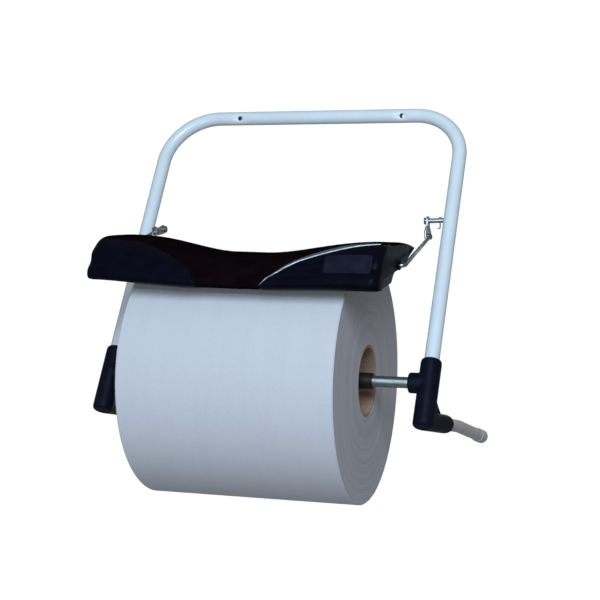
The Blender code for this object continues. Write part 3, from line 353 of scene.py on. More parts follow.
def node(owner, kind, sockets=(), **values):
    """A node of a material or of the world, with what its open sockets hold."""
    made = owner.node_tree.nodes.new(kind)
    for key, value in values.items():
        setattr(made, key, value)
    for socket, value in dict(sockets).items():
        made.inputs[socket].default_value = value
    return made


def link(material, source, target):
    material.node_tree.links.new(source, target)


def coordinates(material, stretch=(1, 1, 1), centre=(0, 0, 0)):
    """Object coordinates, moved to a centre and stretched."""
    place = node(material, "ShaderNodeTexCoord")
    sockets = {"Location": centre, "Scale": [1 / s for s in stretch]}
    mapping = node(material, "ShaderNodeMapping", sockets, vector_type="TEXTURE")
    link(material, place.outputs["Object"], mapping.inputs["Vector"])
    return mapping.outputs["Vector"]


def noise_field(material, scale, detail, stretch=(1, 1, 1), rough=0.5):
    sockets = {"Scale": scale, "Detail": detail, "Roughness": rough}
    field = node(material, "ShaderNodeTexNoise", sockets)
    link(material, coordinates(material, stretch), field.inputs["Vector"])
    return field.outputs["Fac"]


def cell_field(material, scale):
    field = node(material, "ShaderNodeTexVoronoi", {"Scale": scale})
    link(material, coordinates(material), field.inputs["Vector"])
    return field.outputs["Distance"]


def ring_field(material, pitch, wobble, wander_scale=22):
    """Rings about the axle, one pitch apart, that wander a little."""
    vector = coordinates(material, centre=AXLE)
    split = node(material, "ShaderNodeSeparateXYZ")
    link(material, vector, split.inputs["Vector"])
    flat = node(material, "ShaderNodeCombineXYZ")
    link(material, split.outputs["Y"], flat.inputs["Y"])
    link(material, split.outputs["Z"], flat.inputs["Z"])
    length = node(material, "ShaderNodeVectorMath", operation="LENGTH")
    link(material, flat.outputs["Vector"], length.inputs[0])
    wander = node(material, "ShaderNodeMath", {1: wobble}, operation="MULTIPLY_ADD")
    link(material, noise_field(material, wander_scale, 2), wander.inputs[0])
    link(material, length.outputs["Value"], wander.inputs[2])
    sockets = {"Scale": 1 / pitch, "Detail": 3}
    field = node(material, "ShaderNodeTexNoise", sockets, noise_dimensions="1D")
    link(material, wander.outputs["Value"], field.inputs["W"])
    return field.outputs["Fac"]


def ramp(material, field, stops):
    made = node(material, "ShaderNodeValToRGB")
    elements = made.color_ramp.elements
    for element, (position, colour) in zip(elements, (stops[0], stops[-1])):
        element.position = position
        element.color = (*colour, 1)
    for position, colour in stops[1:-1]:
        elements.new(position).color = (*colour, 1)
    link(material, field, made.inputs["Fac"])
    return made.outputs["Color"]


def paint_with(material, field, *stops):
    link(material, ramp(material, field, stops), principled(material).inputs["Base Color"])


def multiplied(material, first, second, share):
    mix = node(material, "ShaderNodeMix", {"Factor": share}, data_type="RGBA", blend_type="MULTIPLY")
    link(material, first, mix.inputs["A"])
    link(material, second, mix.inputs["B"])
    return mix.outputs["Result"]


def roughen(material, field, low, high):
    sockets = {"From Min": FIELD_LOW, "From Max": FIELD_HIGH, "To Min": low, "To Max": high}
    spread = node(material, "ShaderNodeMapRange", sockets)
    link(material, field, spread.inputs["Value"])
    link(material, spread.outputs["Result"], principled(material).inputs["Roughness"])


def emboss(material, field, depth, strength):
    """Relief of one depth in metres, laid over any relief already there."""
    shader = principled(material)
    relief = node(material, "ShaderNodeBump", {"Distance": depth, "Strength": strength})
    link(material, field, relief.inputs["Height"])
    before = shader.inputs["Normal"].links
    if before:
        link(material, before[0].from_socket, relief.inputs["Normal"])
    link(material, relief.outputs["Normal"], shader.inputs["Normal"])


def clouded(skin, dark, light, cloud, gloss, roughness, grain):
    """Paint or vinyl with faint clouds in its colour, an uneven gloss and a fine grain."""
    paint_with(skin, noise_field(skin, *cloud), (FIELD_LOW, dark), (FIELD_HIGH, light))
    roughen(skin, noise_field(skin, *gloss), *roughness)
    emboss(skin, noise_field(skin, grain, 2), 0.00005, 0.6)
    return skin


def plastic(name, colour, roughness, grain, sheen=0.3):
    """Moulded plastic: a fine grain over faint waves."""
    dark = tuple(c * 0.75 for c in colour)
    light = tuple(c * 1.35 for c in colour)
    skin = finish(name, colour, sum(roughness) / 2, Specular_IOR_Level=sheen)
    paint_with(skin, noise_field(skin, 60, 4), (FIELD_LOW, dark), (FIELD_HIGH, light))
    roughen(skin, noise_field(skin, 220, 4), *roughness)
    emboss(skin, noise_field(skin, grain, 2), 0.00004, 0.7)
    emboss(skin, noise_field(skin, 35, 2), 0.0004, 0.25)
    return skin


def bright_metal(name, colour, along, roughness=(0.2, 0.42)):
    """Drawn or plated metal whose fine lines run along one axis."""
    metal = finish(name, colour, sum(roughness) / 2, 1.0)
    stretch = tuple(1 / 14 if axis == along else 1 for axis in range(3))
    lines = noise_field(metal, 900, 3, stretch)
    dull = tuple(c * 0.78 for c in colour)
    paint_with(metal, noise_field(metal, 120, 4), (0.25, dull), (0.6, colour))
    roughen(metal, lines, *roughness)
    emboss(metal, lines, 0.00003, 0.5)
    return metal


def paper_skin():
    """The roll's face: faint bands, fibres, a close emboss and soft waves."""
    paper = finish("paper_face", (0.72, 0.73, 0.75), 0.92)
    bands = noise_field(paper, 30, 3, (3.2, 0.35, 0.35))
    tint = ramp(paper, bands, [(0.3, (0.675, 0.682, 0.715)), (0.72, (0.695, 0.702, 0.733))])
    fibre = ramp(paper, noise_field(paper, 700, 4), [(0.3, (0.92, 0.92, 0.93)), (0.6, (1, 1, 1))])
    link(paper, multiplied(paper, tint, fibre, 0.7), principled(paper).inputs["Base Color"])
    emboss(paper, cell_field(paper, 520), 0.00018, 0.55)
    emboss(paper, noise_field(paper, 46, 3, (2.0, 0.7, 0.7)), 0.0005, 0.14)
    emboss(paper, noise_field(paper, 11, 2), 0.002, 0.3)
    return paper


def paper_edge():
    """The roll's ends: single layers, and broader rings where the winding's pull changed."""
    paper = finish("paper_layers", (0.56, 0.53, 0.51), 0.95)
    rings = ring_field(paper, 0.0011, 0.0009)
    broad = ring_field(paper, 0.0105, 0.002)
    shades = [(0.28, (0.59, 0.56, 0.59)), (0.5, (0.74, 0.71, 0.75)), (0.75, (0.85, 0.82, 0.87))]
    tint = ramp(paper, rings, shades)
    wide = ramp(paper, broad, [(0.3, (0.82, 0.81, 0.80)), (0.7, (1, 1, 1))])
    link(paper, multiplied(paper, tint, wide, 0.8), principled(paper).inputs["Base Color"])
    emboss(paper, rings, 0.0005, 0.6)
    emboss(paper, noise_field(paper, 420, 3), 0.0002, 0.4)
    return paper


def cardboard():
    board = finish("cardboard", (0.36, 0.25, 0.16), 0.9)
    fibres = noise_field(board, 160, 5, (0.6, 2.4, 2.4), 0.65)
    shades = ((0.3, (0.35, 0.22, 0.14)), (0.55, (0.49, 0.325, 0.22)), (0.8, (0.58, 0.41, 0.29)))
    paint_with(board, fibres, *shades)
    emboss(board, fibres, 0.0003, 0.5)
    return board


PAINT = clouded(
    finish("white_paint", (0.78, 0.86, 0.93), 0.32, Coat_Weight=0.25, Coat_Roughness=0.12),
    (0.80, 0.89, 0.93), (0.865, 0.94, 0.96), (26, 4), (140, 3), (0.26, 0.40), 900,
)
# Painted shade: the stand-offs get a darker, warmer grey than the frame's white paint, standing in for
# the shade on their side.
STUB_PAINT_WITH_PAINTED_SHADE = clouded(
    finish("stub_paint_with_painted_shade", (0.56, 0.56, 0.55), 0.5),
    (0.66, 0.635, 0.59), (0.74, 0.715, 0.67), (60, 4), (140, 3), (0.42, 0.58), 900,
)
# Partly painted shade: the caps' vinyl is light grey, darkened here to match the stand-offs' painted
# shade.
VINYL_WITH_PAINTED_SHADE = clouded(
    finish("soft_vinyl_with_painted_shade", (0.54, 0.54, 0.54), 0.6),
    (0.53, 0.505, 0.475), (0.61, 0.585, 0.555), (90, 3), (300, 2), (0.45, 0.65), 800,
)
ELBOW_PLASTIC = plastic("elbow_plastic", (0.005, 0.005, 0.015), (0.40, 0.54), 1900, 0.10)
HOOD_MIDDLE = plastic("hood_middle", (0.006, 0.003, 0.004), (0.34, 0.48), 1400, 0.0)
HOOD_WING = plastic("hood_wing", (0.003, 0.003, 0.008), (0.30, 0.42), 1400, 0.04)
PLATE_PLASTIC = plastic("plate_plastic", (0.010, 0.012, 0.024), (0.22, 0.30), 2400, 0.12)
SLEEVE_PLASTIC = plastic("sleeve_plastic", (0.022, 0.013, 0.013), (0.4, 0.55), 1600)
NYLON = plastic("grey_nylon", (0.16, 0.16, 0.165), (0.45, 0.6), 1500)
ZINC = bright_metal("bright_zinc", (0.34, 0.37, 0.37), 0)
WIRE_ZINC = bright_metal("wire_zinc", (0.42, 0.43, 0.44), 1, (0.14, 0.3))
# Partly painted highlight: the links get a lighter copy of the zinc on the studs and rivets, so their
# faces read bright.
LINK_ZINC_WITH_PAINTED_HIGHLIGHT = bright_metal("link_zinc_with_painted_highlight", (0.70, 0.71, 0.72), 2, (0.36, 0.52))
TRIM = bright_metal("silver_trim", (0.30, 0.36, 0.375), 0, (0.34, 0.52))
ROD_STEEL = bright_metal("rod_steel", (0.30, 0.335, 0.33), 0, (0.34, 0.52))
STEEL = bright_metal("tear_steel", (0.55, 0.56, 0.57), 0)
PAPER = paper_skin()
PAPER_EDGE = paper_edge()
BOARD = cardboard()


# Frame tube: slimmer than its solid, with a rounder left bend and a left leg that leans in
TUBE_SKIN = 0.0081
TUBE_BORE = 0.0069
BENDS = {"left": 0.062, "right": 0.057}
TOP_INWARD = {"left": 0.0016, "right": 0.0}
LEG_START = 0.0133
SCREW_HOLE = 0.00275
HOLE_ENDS = (0.004, -0.022)
STUD_HOLE = 0.012
STATION = 0.00133
HOLE_STATIONS = 12
FLAT_HALF = 0.012
FLAT_FADE = 0.004
FLAT_ANGLE = radians(36)
DENT = 0.0022
DENT_REACH = 0.0085
DENT_ANGLE = radians(34)


def tube_ring(centre, tangent, radius, sides):
    up = tangent.cross(LEG_NORMAL)
    return [
        centre + (LEG_NORMAL * cos(a + LEAN) + up * sin(a + LEAN)) * radius
        for a in turn_points(sides)
    ]


def bell(away, reach):
    return exp(-2 * (away / reach) ** 2)


def pressed(point, x, angle, radius):
    """The flat behind each screw hole and the dimple in front of it."""
    moved = Vector(point)
    around = abs(atan2(sin(angle), cos(angle)))
    for hole in HOLES:
        away = abs(x - hole)
        if around < FLAT_ANGLE:
            moved.y += (radius - TUBE - moved.y) * (1 - clamped((away - FLAT_HALF) / FLAT_FADE))
        moved.y += DENT * bell(away, DENT_REACH) * bell(pi - around, DENT_ANGLE)
    return moved


def bend_place(side, share):
    """A place on one of the tube's bends, and how far it points up the leg and along the top bar."""
    bend = BENDS[side]
    a = QUARTER * share
    out = HALF_WIDTH - TOP_INWARD[side] - bend + bend * cos(a)
    centre = AXLE + X * (SIDES[side] * out) + LEG_UP * (LEG_LENGTH - bend + bend * sin(a))
    return centre, cos(a), sin(a)


def frame_tube_rings(radius, sides=64, steps=26):
    rings = [tube_ring(leg_point("left", LEG_START), LEG_UP, radius, sides)]
    for k in range(steps + 1):
        centre, up, along = bend_place("left", k / steps)
        rings.append(tube_ring(centre, LEG_UP * up + X * along, radius, sides))
    near_hole = range(-HOLE_STATIONS, HOLE_STATIONS + 1)
    for x in sorted(hole + STATION * k for hole in HOLES for k in near_hole):
        plain = tube_ring(AXLE + X * x + LEG_UP * LEG_LENGTH, X, radius, sides)
        rings.append([pressed(p, x, a, radius) for p, a in zip(plain, turn_points(sides))])
    for k in reversed(range(steps + 1)):
        centre, up, along = bend_place("right", k / steps)
        rings.append(tube_ring(centre, X * along - LEG_UP * up, radius, sides))
    rings.append(tube_ring(leg_point("right", LEG_START), -LEG_UP, radius, sides))
    return rings


def make_frame_tube():
    rings = frame_tube_rings(TUBE_SKIN) + frame_tube_rings(TUBE_BORE)[::-1]
    tube = loft("painted_frame_tube", rings, closed=True)
    back, front = HOLE_ENDS
    for x in HOLES:
        drill(tube, (x, back, 0), (x, front, 0), SCREW_HOLE)
    for side in SIDES:
        outer_end, _ = stud_ends(side)
        drill(tube, outer_end, outer_end - stud_direction(side) * STUD_HOLE, STUD + GAP)
    finished(tube, PAINT, "frame", "frame_tube")


# Elbows and stand-offs; rims are places as inset and distance from the end
SPLAY = radians(6.2)
DROP = radians(11.6)
BEND_DROP = radians(4.6)
ELBOW = 0.0113
ELBOW_LOW = -0.050
ELBOW_LENGTH = 0.0765
ELBOW_ROUND = 0.0042
MOUTH_EDGE = ((0, 0.0036), (0.0005, 0.0012), (0.0014, 0))
LEG_STOP = 0.013
LEG_BORE = 0.024
BOSS = 0.011
BOSS_LENGTH = 0.021
BOSS_ROUND = 0.0022
BOSS_BORE = 0.019
SOCKET = 0.01025
SOCKET_MOUTH = 0.0099
SOCKET_TAPER = 0.0665
SOCKET_ROUND = 0.0026
SOCKET_DOWN = 0.042
SOCKET_LENGTH = 0.074
SOCKET_STOP = 0.020
WEB_HALF = 0.0035
WEB_BACK = 0.046
WEB_UP = 0.047
WEB_START = (0.0105, 0.009)
WEB_REACH = (0.0355, 0.038)
WEB_HOLLOW = ((0.0, 1.0), (0.20, 0.69), (0.45, 0.36), (0.785, 0.13), (1.0, 0.0))
SKIN_CELL = 0.00045
STANDOFF_BORE = 0.0057
STANDOFF_BEND = 0.118
STANDOFF_SWEEP = 0.140
STANDOFF_END = -0.0062
CAP_WALL = 0.00085
CAP_SKIRT = 0.016
CAP_RIM = (
    (0.0003, 0), (0, 0.0004), (0, 0.0035), (0.00035, 0.0040), (0.00035, 0.0046), (0, 0.0051),
)


def slanting(side, drop):
    level = Vector((SIDES[side] * sin(SPLAY), cos(SPLAY), 0))
    return level * cos(drop) - Z * sin(drop)


def make_elbow(side):
    outline = [(0, 0)] + arc(-QUARTER, 0, 8, ELBOW_ROUND, centre=(ELBOW - ELBOW_ROUND, ELBOW_ROUND))
    outline += [(ELBOW - inset, ELBOW_LENGTH - down) for inset, down in MOUTH_EDGE]
    outline.append((0, ELBOW_LENGTH))
    place = axis_frame(leg_point(side, ELBOW_LOW), LEG_UP, X)
    body = lathe("moulded_elbow_" + side, outline, place, 72)

    inward = X * -SIDES[side]
    boss_place = axis_frame(leg_point(side, 0), inward, LEG_UP)
    boss = turned("boss", box(0, BOSS, 0, BOSS_LENGTH), boss_place, BOSS_ROUND, 72, 6)
    combine(body, boss, "UNION")
    direction = slanting(side, DROP)
    origin = leg_point(side, -SOCKET_DOWN)
    outline = [
        (0, 0), (SOCKET, 0), (SOCKET, SOCKET_TAPER), (SOCKET_MOUTH, SOCKET_LENGTH), (0, SOCKET_LENGTH),
    ]
    socket = turned("socket", outline, axis_frame(origin, direction, X), SOCKET_ROUND, 72, 6)
    combine(body, socket, "UNION")
    across = direction.cross(LEG_UP).normalized() * WEB_HALF
    hollow = spline([Vector(p) for p in WEB_HOLLOW], 4)
    outline = [(0, 0), (0, WEB_UP)]
    outline += [(WEB_START[0] + WEB_REACH[0] * p.x, WEB_START[1] + WEB_REACH[1] * p.y) for p in hollow]
    outline.append((WEB_BACK, 0))
    corner = [origin + direction * back + LEG_UP * up for back, up in outline]
    combine(body, loft("web", [[p - across for p in corner], [p + across for p in corner]]), "UNION")

    stop = leg_point(side, LEG_STOP)
    drill(body, stop, stop + LEG_UP * LEG_BORE, TUBE_SKIN + SNUG, 64)
    mouth = axle_point(SIDES[side] * (BOSS_FACE - OVERSHOOT))
    drill(body, mouth, mouth - inward * BOSS_BORE, ROD + SNUG, 64)
    start = origin + direction * SOCKET_STOP
    end = origin + direction * (SOCKET_LENGTH + OVERSHOOT)
    drill(body, start, end, STANDOFF + SNUG, 64)

    skin = body.modifiers.new("skin", "REMESH")
    skin.mode = "VOXEL"
    skin.voxel_size = SKIN_CELL
    settle = body.modifiers.new("settle", "SMOOTH")
    settle.factor = 0.5
    settle.iterations = 12
    bake(body)
    finished(body, ELBOW_PLASTIC, "frame", side + "_elbow", 60)


def make_standoff(side):
    direction = slanting(side, DROP)
    beyond = slanting(side, DROP + BEND_DROP)
    origin = leg_point(side, -SOCKET_DOWN)
    bend = origin + direction * STANDOFF_BEND
    end = bend + beyond * ((STANDOFF_END - bend.y) / beyond.y)
    path = corner_path([origin + direction * (SOCKET_STOP + GAP), bend, end], STANDOFF_SWEEP, 10)
    outer, inner = (path_rings(path, [r] * len(path), 48) for r in (STANDOFF, STANDOFF_BORE))
    tube = loft("painted_standoff_" + side, outer + inner[::-1], closed=True)
    finished(tube, STUB_PAINT_WITH_PAINTED_SHADE, "frame", side + "_standoff_tube")

    bore = STANDOFF + SNUG
    radius = bore + CAP_WALL
    outline = [(0, CAP_SKIRT + GAP), (bore, CAP_SKIRT + GAP), (bore, 0)]
    outline += [(radius - inset, up) for inset, up in CAP_RIM]
    outline += arc(0, QUARTER, 15, radius, centre=(0, CAP_SKIRT))
    cap = lathe("vinyl_cap_" + side, outline, axis_frame(end - beyond * CAP_SKIRT, beyond, X), 56)
    for vertex in cap.data.vertices:
        vertex.co.y = min(vertex.co.y, 0)
    finished(cap, VINYL_WITH_PAINTED_SHADE, "frame", side + "_standoff_cap", 50)


# Axle, sleeve, hubs and core
FLANGE = 0.004
CHAMFER = 0.0012
TIP_DEPTH = 0.0135
BUSH = 0.014
BUSH_RIM = 0.0012
BUSH_EDGE = (0.0006, 0.0007)
LEFT_FACE = -0.034
RIGHT_FACE = HALF_SLEEVE - BUSH - GAP - FLANGE
COIL = 0.0007
COIL_TURNS = 12
HUB_OUT = 0.082
HUB_HALF = 0.008
HUB_WEB = 0.0017
HUB_RIM = 0.0030
HUB_BOSS = 0.0036
SPOKES = 5
SPOKE_HALF = 0.0035
WINDOW_EDGE = 0.0012
WINDOW_ROUND = 0.0016
CORE_SHORT = 0.0004


def make_rod(side, face, body):
    """Rod whose flange stands in the sleeve and whose tip stands in the elbow's boss."""
    flange = SLEEVE_BORE - GAP
    length = BOSS_FACE + TIP_DEPTH - abs(face)
    outline = [
        (0, 0), (flange, 0), (flange, FLANGE), (ROD, FLANGE), (ROD, length - CHAMFER),
        (ROD - CHAMFER, length), (0, length),
    ]
    piece = turned("bright_rod_" + side, outline, on_axle(face, SIDES[side]))
    finished(piece, ROD_STEEL, body, side + "_axle_rod")


def make_axle():
    make_rod("left", LEFT_FACE, "frame")
    make_rod("right", RIGHT_FACE, "axle_plunger")
    outline = box(SLEEVE_BORE, SLEEVE, 0, 2 * HALF_SLEEVE)
    sleeve = turned("sleeve_tube", outline, on_axle(-HALF_SLEEVE), TINY_ROUND)
    finished(sleeve, SLEEVE_PLASTIC, "roll", "axle_sleeve")

    for side, sign in SIDES.items():
        inner = ROD + GAP
        outer = SLEEVE_BORE - SNUG
        start = BUSH + SNUG
        inset, up = BUSH_EDGE
        outline = [
            (inner, 0), (outer, 0), (outer, start), (SLEEVE, start), (SLEEVE, start + up),
            (SLEEVE - inset, start + BUSH_RIM), (inner, start + BUSH_RIM),
        ]
        bush = turned("bush_" + side, outline, on_axle(sign * (HALF_SLEEVE - BUSH), sign), TINY_ROUND)
        finished(bush, SLEEVE_PLASTIC, "roll", side + "_sleeve_bush")
        make_hub(side, sign)

    outline = box(CORE_BORE, CORE, 0, 2 * (HALF_ROLL - CORE_SHORT))
    core = turned("cardboard_core", outline, on_axle(CORE_SHORT - HALF_ROLL), SMALL_ROUND, 144)
    finished(core, BOARD, "roll", "core_tube")


def make_spring():
    """Open coil between the two rods' flanges."""
    low = LEFT_FACE + GAP + COIL
    high = RIGHT_FACE - GAP - COIL
    radius = SLEEVE_BORE - GAP - COIL
    path = []
    for share in np.linspace(0, 1, COIL_TURNS * 24 + 1):
        a = tau * COIL_TURNS * share
        path.append(round_axle(low + (high - low) * share, radius, a))
    coil = wire_piece("coil_spring", path, COIL, 12)
    coil.data.materials.append(WIRE_ZINC)
    coil.data.shade_smooth()
    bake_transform(coil)
    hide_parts("axle_spring")


def make_hub(side, sign):
    outer = CORE_BORE - GAP
    rim = outer - HUB_RIM
    bore = SLEEVE + SNUG
    boss = bore + HUB_BOSS
    half = [
        (bore, -HUB_HALF), (boss, -HUB_HALF), (boss, -HUB_WEB),
        (rim, -HUB_WEB), (rim, -HUB_HALF), (outer, -HUB_HALF),
    ]
    outline = half + [(radius, -height) for radius, height in reversed(half)]
    place = on_axle(sign * HUB_OUT, sign)
    hub = turned("spider_" + side, outline, place, SMALL_ROUND, 120)
    near = boss + WINDOW_EDGE
    far = rim - WINDOW_EDGE
    near_turn, far_turn = (pi / SPOKES - asin(SPOKE_HALF / r) for r in (near, far))
    corners = arc(-far_turn, far_turn, 8, far) + arc(near_turn, -near_turn, 4, near)
    corners = softened(corners, WINDOW_ROUND, 4)
    for turn in turn_points(SPOKES):
        turned_place = place @ Matrix.Rotation(turn, 4, "Z")
        rings = [[turned_place @ Vector((x, y, z)) for x, y in corners] for z in (-OVERSHOOT, OVERSHOOT)]
        combine(hub, loft("window", rings), "DIFFERENCE")
    finished(hub, NYLON, "roll", side + "_core_hub")


# Paper
ROLL_SIDES = 288
END_STEPS = 64
SKIN_STEPS = 46
ROLL_EDGE = 0.0012
END_BACK = 0.00002
EDGE_FADE = 30
END_TILT = 0.8
LAYER = 0.0009
LAYER_BACK = 0.00022
LAYER_STEP = 0.00016
LAYER_STEPS_PER_METRE = 420
LAYER_WAVE = 0.0002
LAYER_WAVES_PER_METRE = 75
SKIN_WAVE = 0.00012
SKIN_WAVES_PER_METRE = 90
SHEET = 0.0004
SHEET_GAP = GAP * 0.6
SHEET_SHORT = 0.0006
SHEET_START = radians(28)
SHEET_END = 131.6
SHEET_SKEW = 3.3
RAGGED = 0.004
RAGS_PER_METRE = 60
FINE_RAGS_PER_METRE = 260
CURLS_PER_METRE = 38
TAIL_SHARE = 0.14
TAIL_LIFT = 0.00032


def noise_at(x, y, z):
    return noise.noise(Vector((x, y, z)))


def layer_depth(radius, angle, face):
    """How far the wound layers stand back at one place of the roll's end."""
    spiral = radius + LAYER * angle / tau
    steps = noise_at(spiral * LAYER_STEPS_PER_METRE, 3.1 * face, 0)
    slow = noise_at(spiral * LAYER_WAVES_PER_METRE, 7.7 * face, 1.5)
    return LAYER_BACK + LAYER_STEP * steps + LAYER_WAVE * slow


def end_rings(sign):
    """One end of the roll, from the core out."""
    inner = CORE + SNUG
    rings = []
    for k in range(END_STEPS + 1):
        share = k / END_STEPS
        radius = inner + (ROLL - ROLL_EDGE - inner) * share
        keep = min(share * EDGE_FADE, (1 - share) * EDGE_FADE, 1)
        ring = []
        for a in turn_points(ROLL_SIDES):
            x = sign * (HALF_ROLL - END_BACK - keep * layer_depth(radius, a, sign))
            ring.append(round_axle(x, radius, a))
        rings.append(ring)
    return rings


def skin_ring(x):
    """The roll's face at one place along it, in faint waves."""
    ring = []
    for a in turn_points(ROLL_SIDES):
        wave = noise_at(x * SKIN_WAVES_PER_METRE, cos(a) * 2, sin(a) * 2)
        radius = ROLL - SKIN_WAVE * (1 + wave)
        ring.append(round_axle(x, radius, a))
    return ring


def make_roll():
    half = HALF_ROLL - ROLL_EDGE
    skin = [skin_ring(2 * half * k / SKIN_STEPS - half) for k in range(SKIN_STEPS + 1)]
    roll = loft("wound_paper", end_rings(-1) + skin + end_rings(1)[::-1], closed=True)
    finished(
        roll, PAPER, "roll", "paper_roll",
        other=PAPER_EDGE, is_other=lambda face: abs(face.normal.x) > END_TILT,
    )


def make_sheet(across=70, along=96):
    """The free end: a thin sheet over the roll, its edge cut a little askew."""
    half = HALF_ROLL - SHEET_SHORT
    bm = bmesh.new()
    layers = []
    for thickness in (0.0, SHEET):
        rows = []
        for i in range(across + 1):
            x = -half + 2 * half * i / across
            coarse = noise_at(x * RAGS_PER_METRE, 0.3, 5.0)
            fine = noise_at(x * FINE_RAGS_PER_METRE, 2.3, 5.0)
            end = radians(SHEET_END + SHEET_SKEW * i / across) + RAGGED * (coarse + fine / 2)
            curl = TAIL_LIFT * (1 + noise_at(x * CURLS_PER_METRE, 9.1, 0))
            row = []
            for k in range(along + 1):
                a = SHEET_START + (end - SHEET_START) * k / along
                tail = max(k / along - (1 - TAIL_SHARE), 0) / TAIL_SHARE
                radius = ROLL + SHEET_GAP + curl * tail ** 2 + thickness
                row.append(bm.verts.new(axle_point(x, -radius * cos(a), radius * sin(a))))
            rows.append(row)
        layers.append(rows)
        for first, second in zip(rows, rows[1:]):
            quads(bm, first, second, open_ended=True)
    low, high = layers
    for at in (0, -1):
        quads(bm, [row[at] for row in low], [row[at] for row in high], open_ended=True)
        quads(bm, low[at], high[at], open_ended=True)
    finished(mesh_piece("paper_tail", bm), PAPER, "roll", "loose_sheet")


# Hood
HALF_HOOD = 0.157
HOOD_SHIFT = -0.002
HOOD_DEPTH = 0.1515
HOOD_REAR = 0.036
HOOD_WALL = 0.0025
END_ROUND = 0.008
MID_HEIGHT = 0.0326
END_HEIGHT = 0.0447
SHEET_ROOM = 2 * GAP + 0.0005
HOOD_CLEAR = 0.0006
MID_TOP = ROLL + SHEET_ROOM + HOOD_WALL + HOOD_CLEAR
END_RISE = 0.0158
END_TOP = MID_TOP + END_RISE
MID_LOW = MID_TOP - MID_HEIGHT
END_LOW = END_TOP - END_HEIGHT
HOOD_TILT = radians(1.0)
HOOD_LIFT = 0.0001
HOOD_PLACE = AXLE + X * HOOD_SHIFT + Z * HOOD_LIFT
HOOD = Matrix.Translation(HOOD_PLACE) @ Matrix.Rotation(HOOD_TILT, 4, "Y")

# Outlines in shares of the depth, from the rear forwards, and of the height, from the lip up
END_OUTLINE = (
    (0.000, 0.845), (0.119, 0.932), (0.304, 0.985), (0.502, 1.000), (0.660, 1.000), (0.739, 0.982),
    (0.799, 0.922), (0.851, 0.810), (0.898, 0.687), (0.921, 0.575), (0.932, 0.462), (0.955, 0.375),
    (0.984, 0.298), (1.000, 0.190), (0.997, 0.085), (0.977, 0.022), (0.944, 0.000),
)
MID_OUTLINE = (
    (0.000, 0.848), (0.119, 0.955), (0.304, 0.998), (0.502, 0.994), (0.634, 0.963), (0.726, 0.902),
    (0.792, 0.819), (0.845, 0.727), (0.884, 0.644), (0.908, 0.564), (0.922, 0.479), (0.948, 0.390),
    (0.977, 0.313), (0.992, 0.202), (0.989, 0.095), (0.967, 0.028), (0.934, 0.000),
)

# Shares of the end's rounding that draw each of those points in, and that move it back
ROUND_SHARES = (
    0.13, 0.35, 0.53, 0.63, 0.63, 0.63, 0.63, 0.63, 0.63, 0.63, 0.60, 0.50, 0.40, 0.30, 0.20,
    0.15, 0.15,
)
BACK_SHARES = (0, 0, 0, 0, 0, 0, 0, 0, 0, 0.10, 0.30, 0.55, 0.80, 0.95, 1, 1, 1)

# The end walls' lower edge, with the shares of the rounding that lift it and that move it back
END_EDGE = (
    (0.920, -0.003, 0.22, 1.00), (0.790, 0.035, 0.22, 0.60), (0.653, 0.094, 0.19, 0.15),
    (0.615, 0.180, 0.19, 0), (0.568, 0.300, 0.16, 0), (0.475, 0.350, 0.13, 0),
    (0.356, 0.389, 0.10, 0), (0.214, 0.559, 0.06, 0), (0.012, 0.795, 0, 0),
)

# Places in shares of the half width and of the outline's length; the arc's also have its width
ARC = (
    (0.226, 0.935, 0.16), (0.250, 0.916, 0.30), (0.280, 0.885, 0.40), (0.310, 0.853, 0.48),
    (0.340, 0.830, 0.56), (0.370, 0.813, 0.62), (0.400, 0.798, 0.68), (0.458, 0.768, 0.80),
    (0.550, 0.733, 0.94), (0.650, 0.703, 1.00), (0.770, 0.673, 0.95), (0.890, 0.645, 0.60),
    (0.955, 0.634, 0.16),
)
CREASE = (
    (0.226, 0.932), (0.252, 0.878), (0.303, 0.817), (0.374, 0.767), (0.471, 0.711),
    (0.561, 0.673), (0.703, 0.641), (1.0, 0.62),
)
CREASE_END = (-0.15, 0.655)

# The wings: how far they stand proud, where that starts and fades, and what counts as wing
WING_RISE = 0.0011
WING_BAND = 0.022
WING_TIP = 0.03
LEFT_FADE = (0.62, 0.3)
WING_FRONT = -0.06
WALL_BAND = 0.0005

# Where the outline goes over from the middle's to the end's, and how finely the hood is drawn
LEFT_BLEND = (0.035, 0.105)
RIGHT_BLEND = (0.0, 0.135)
STATION_STEP = 0.0025
FINE = 6

# The hollow, the lugs, the slots, the bead and the plate
HOLLOW_DOWN = 0.038
LUG_RADIUS = 0.0049
LUG_IN = 0.0006
LUG_OUT = 0.0018
SLOT_HALF = 0.00505
SLOT_RADIUS = 0.0012
SLOT_DEEP = 0.0065
HOOD_EDGE = 0.0004
BEAD_HALF = 0.0029
BEAD_LOW = 0.0007
BEAD_RISE = 0.0014
BEAD_TIP = 0.12
PLATE_PLACE = (0.787, 0.8035)
PLATE_HALF = (0.155, 0.0585)
PLATE_ROUND = 0.28
PLATE_FACE = 0.00095

# Shares of the plate's size, with the height over the hood, from its foot to its middle
PLATE_LEVELS = (
    (1.0, 0.0003), (1.0, 0.0008), (0.985, 0.00105), (0.955, 0.0011), (0.93, PLATE_FACE),
    (0.6, PLATE_FACE), (0.3, PLATE_FACE), (0.02, PLATE_FACE),
)


def blend(x):
    """How far the outline has gone over from the middle's to the end's; the left wing sets in later."""
    start, reach = LEFT_BLEND if x < 0 else RIGHT_BLEND
    return eased((abs(x) - start) / reach)


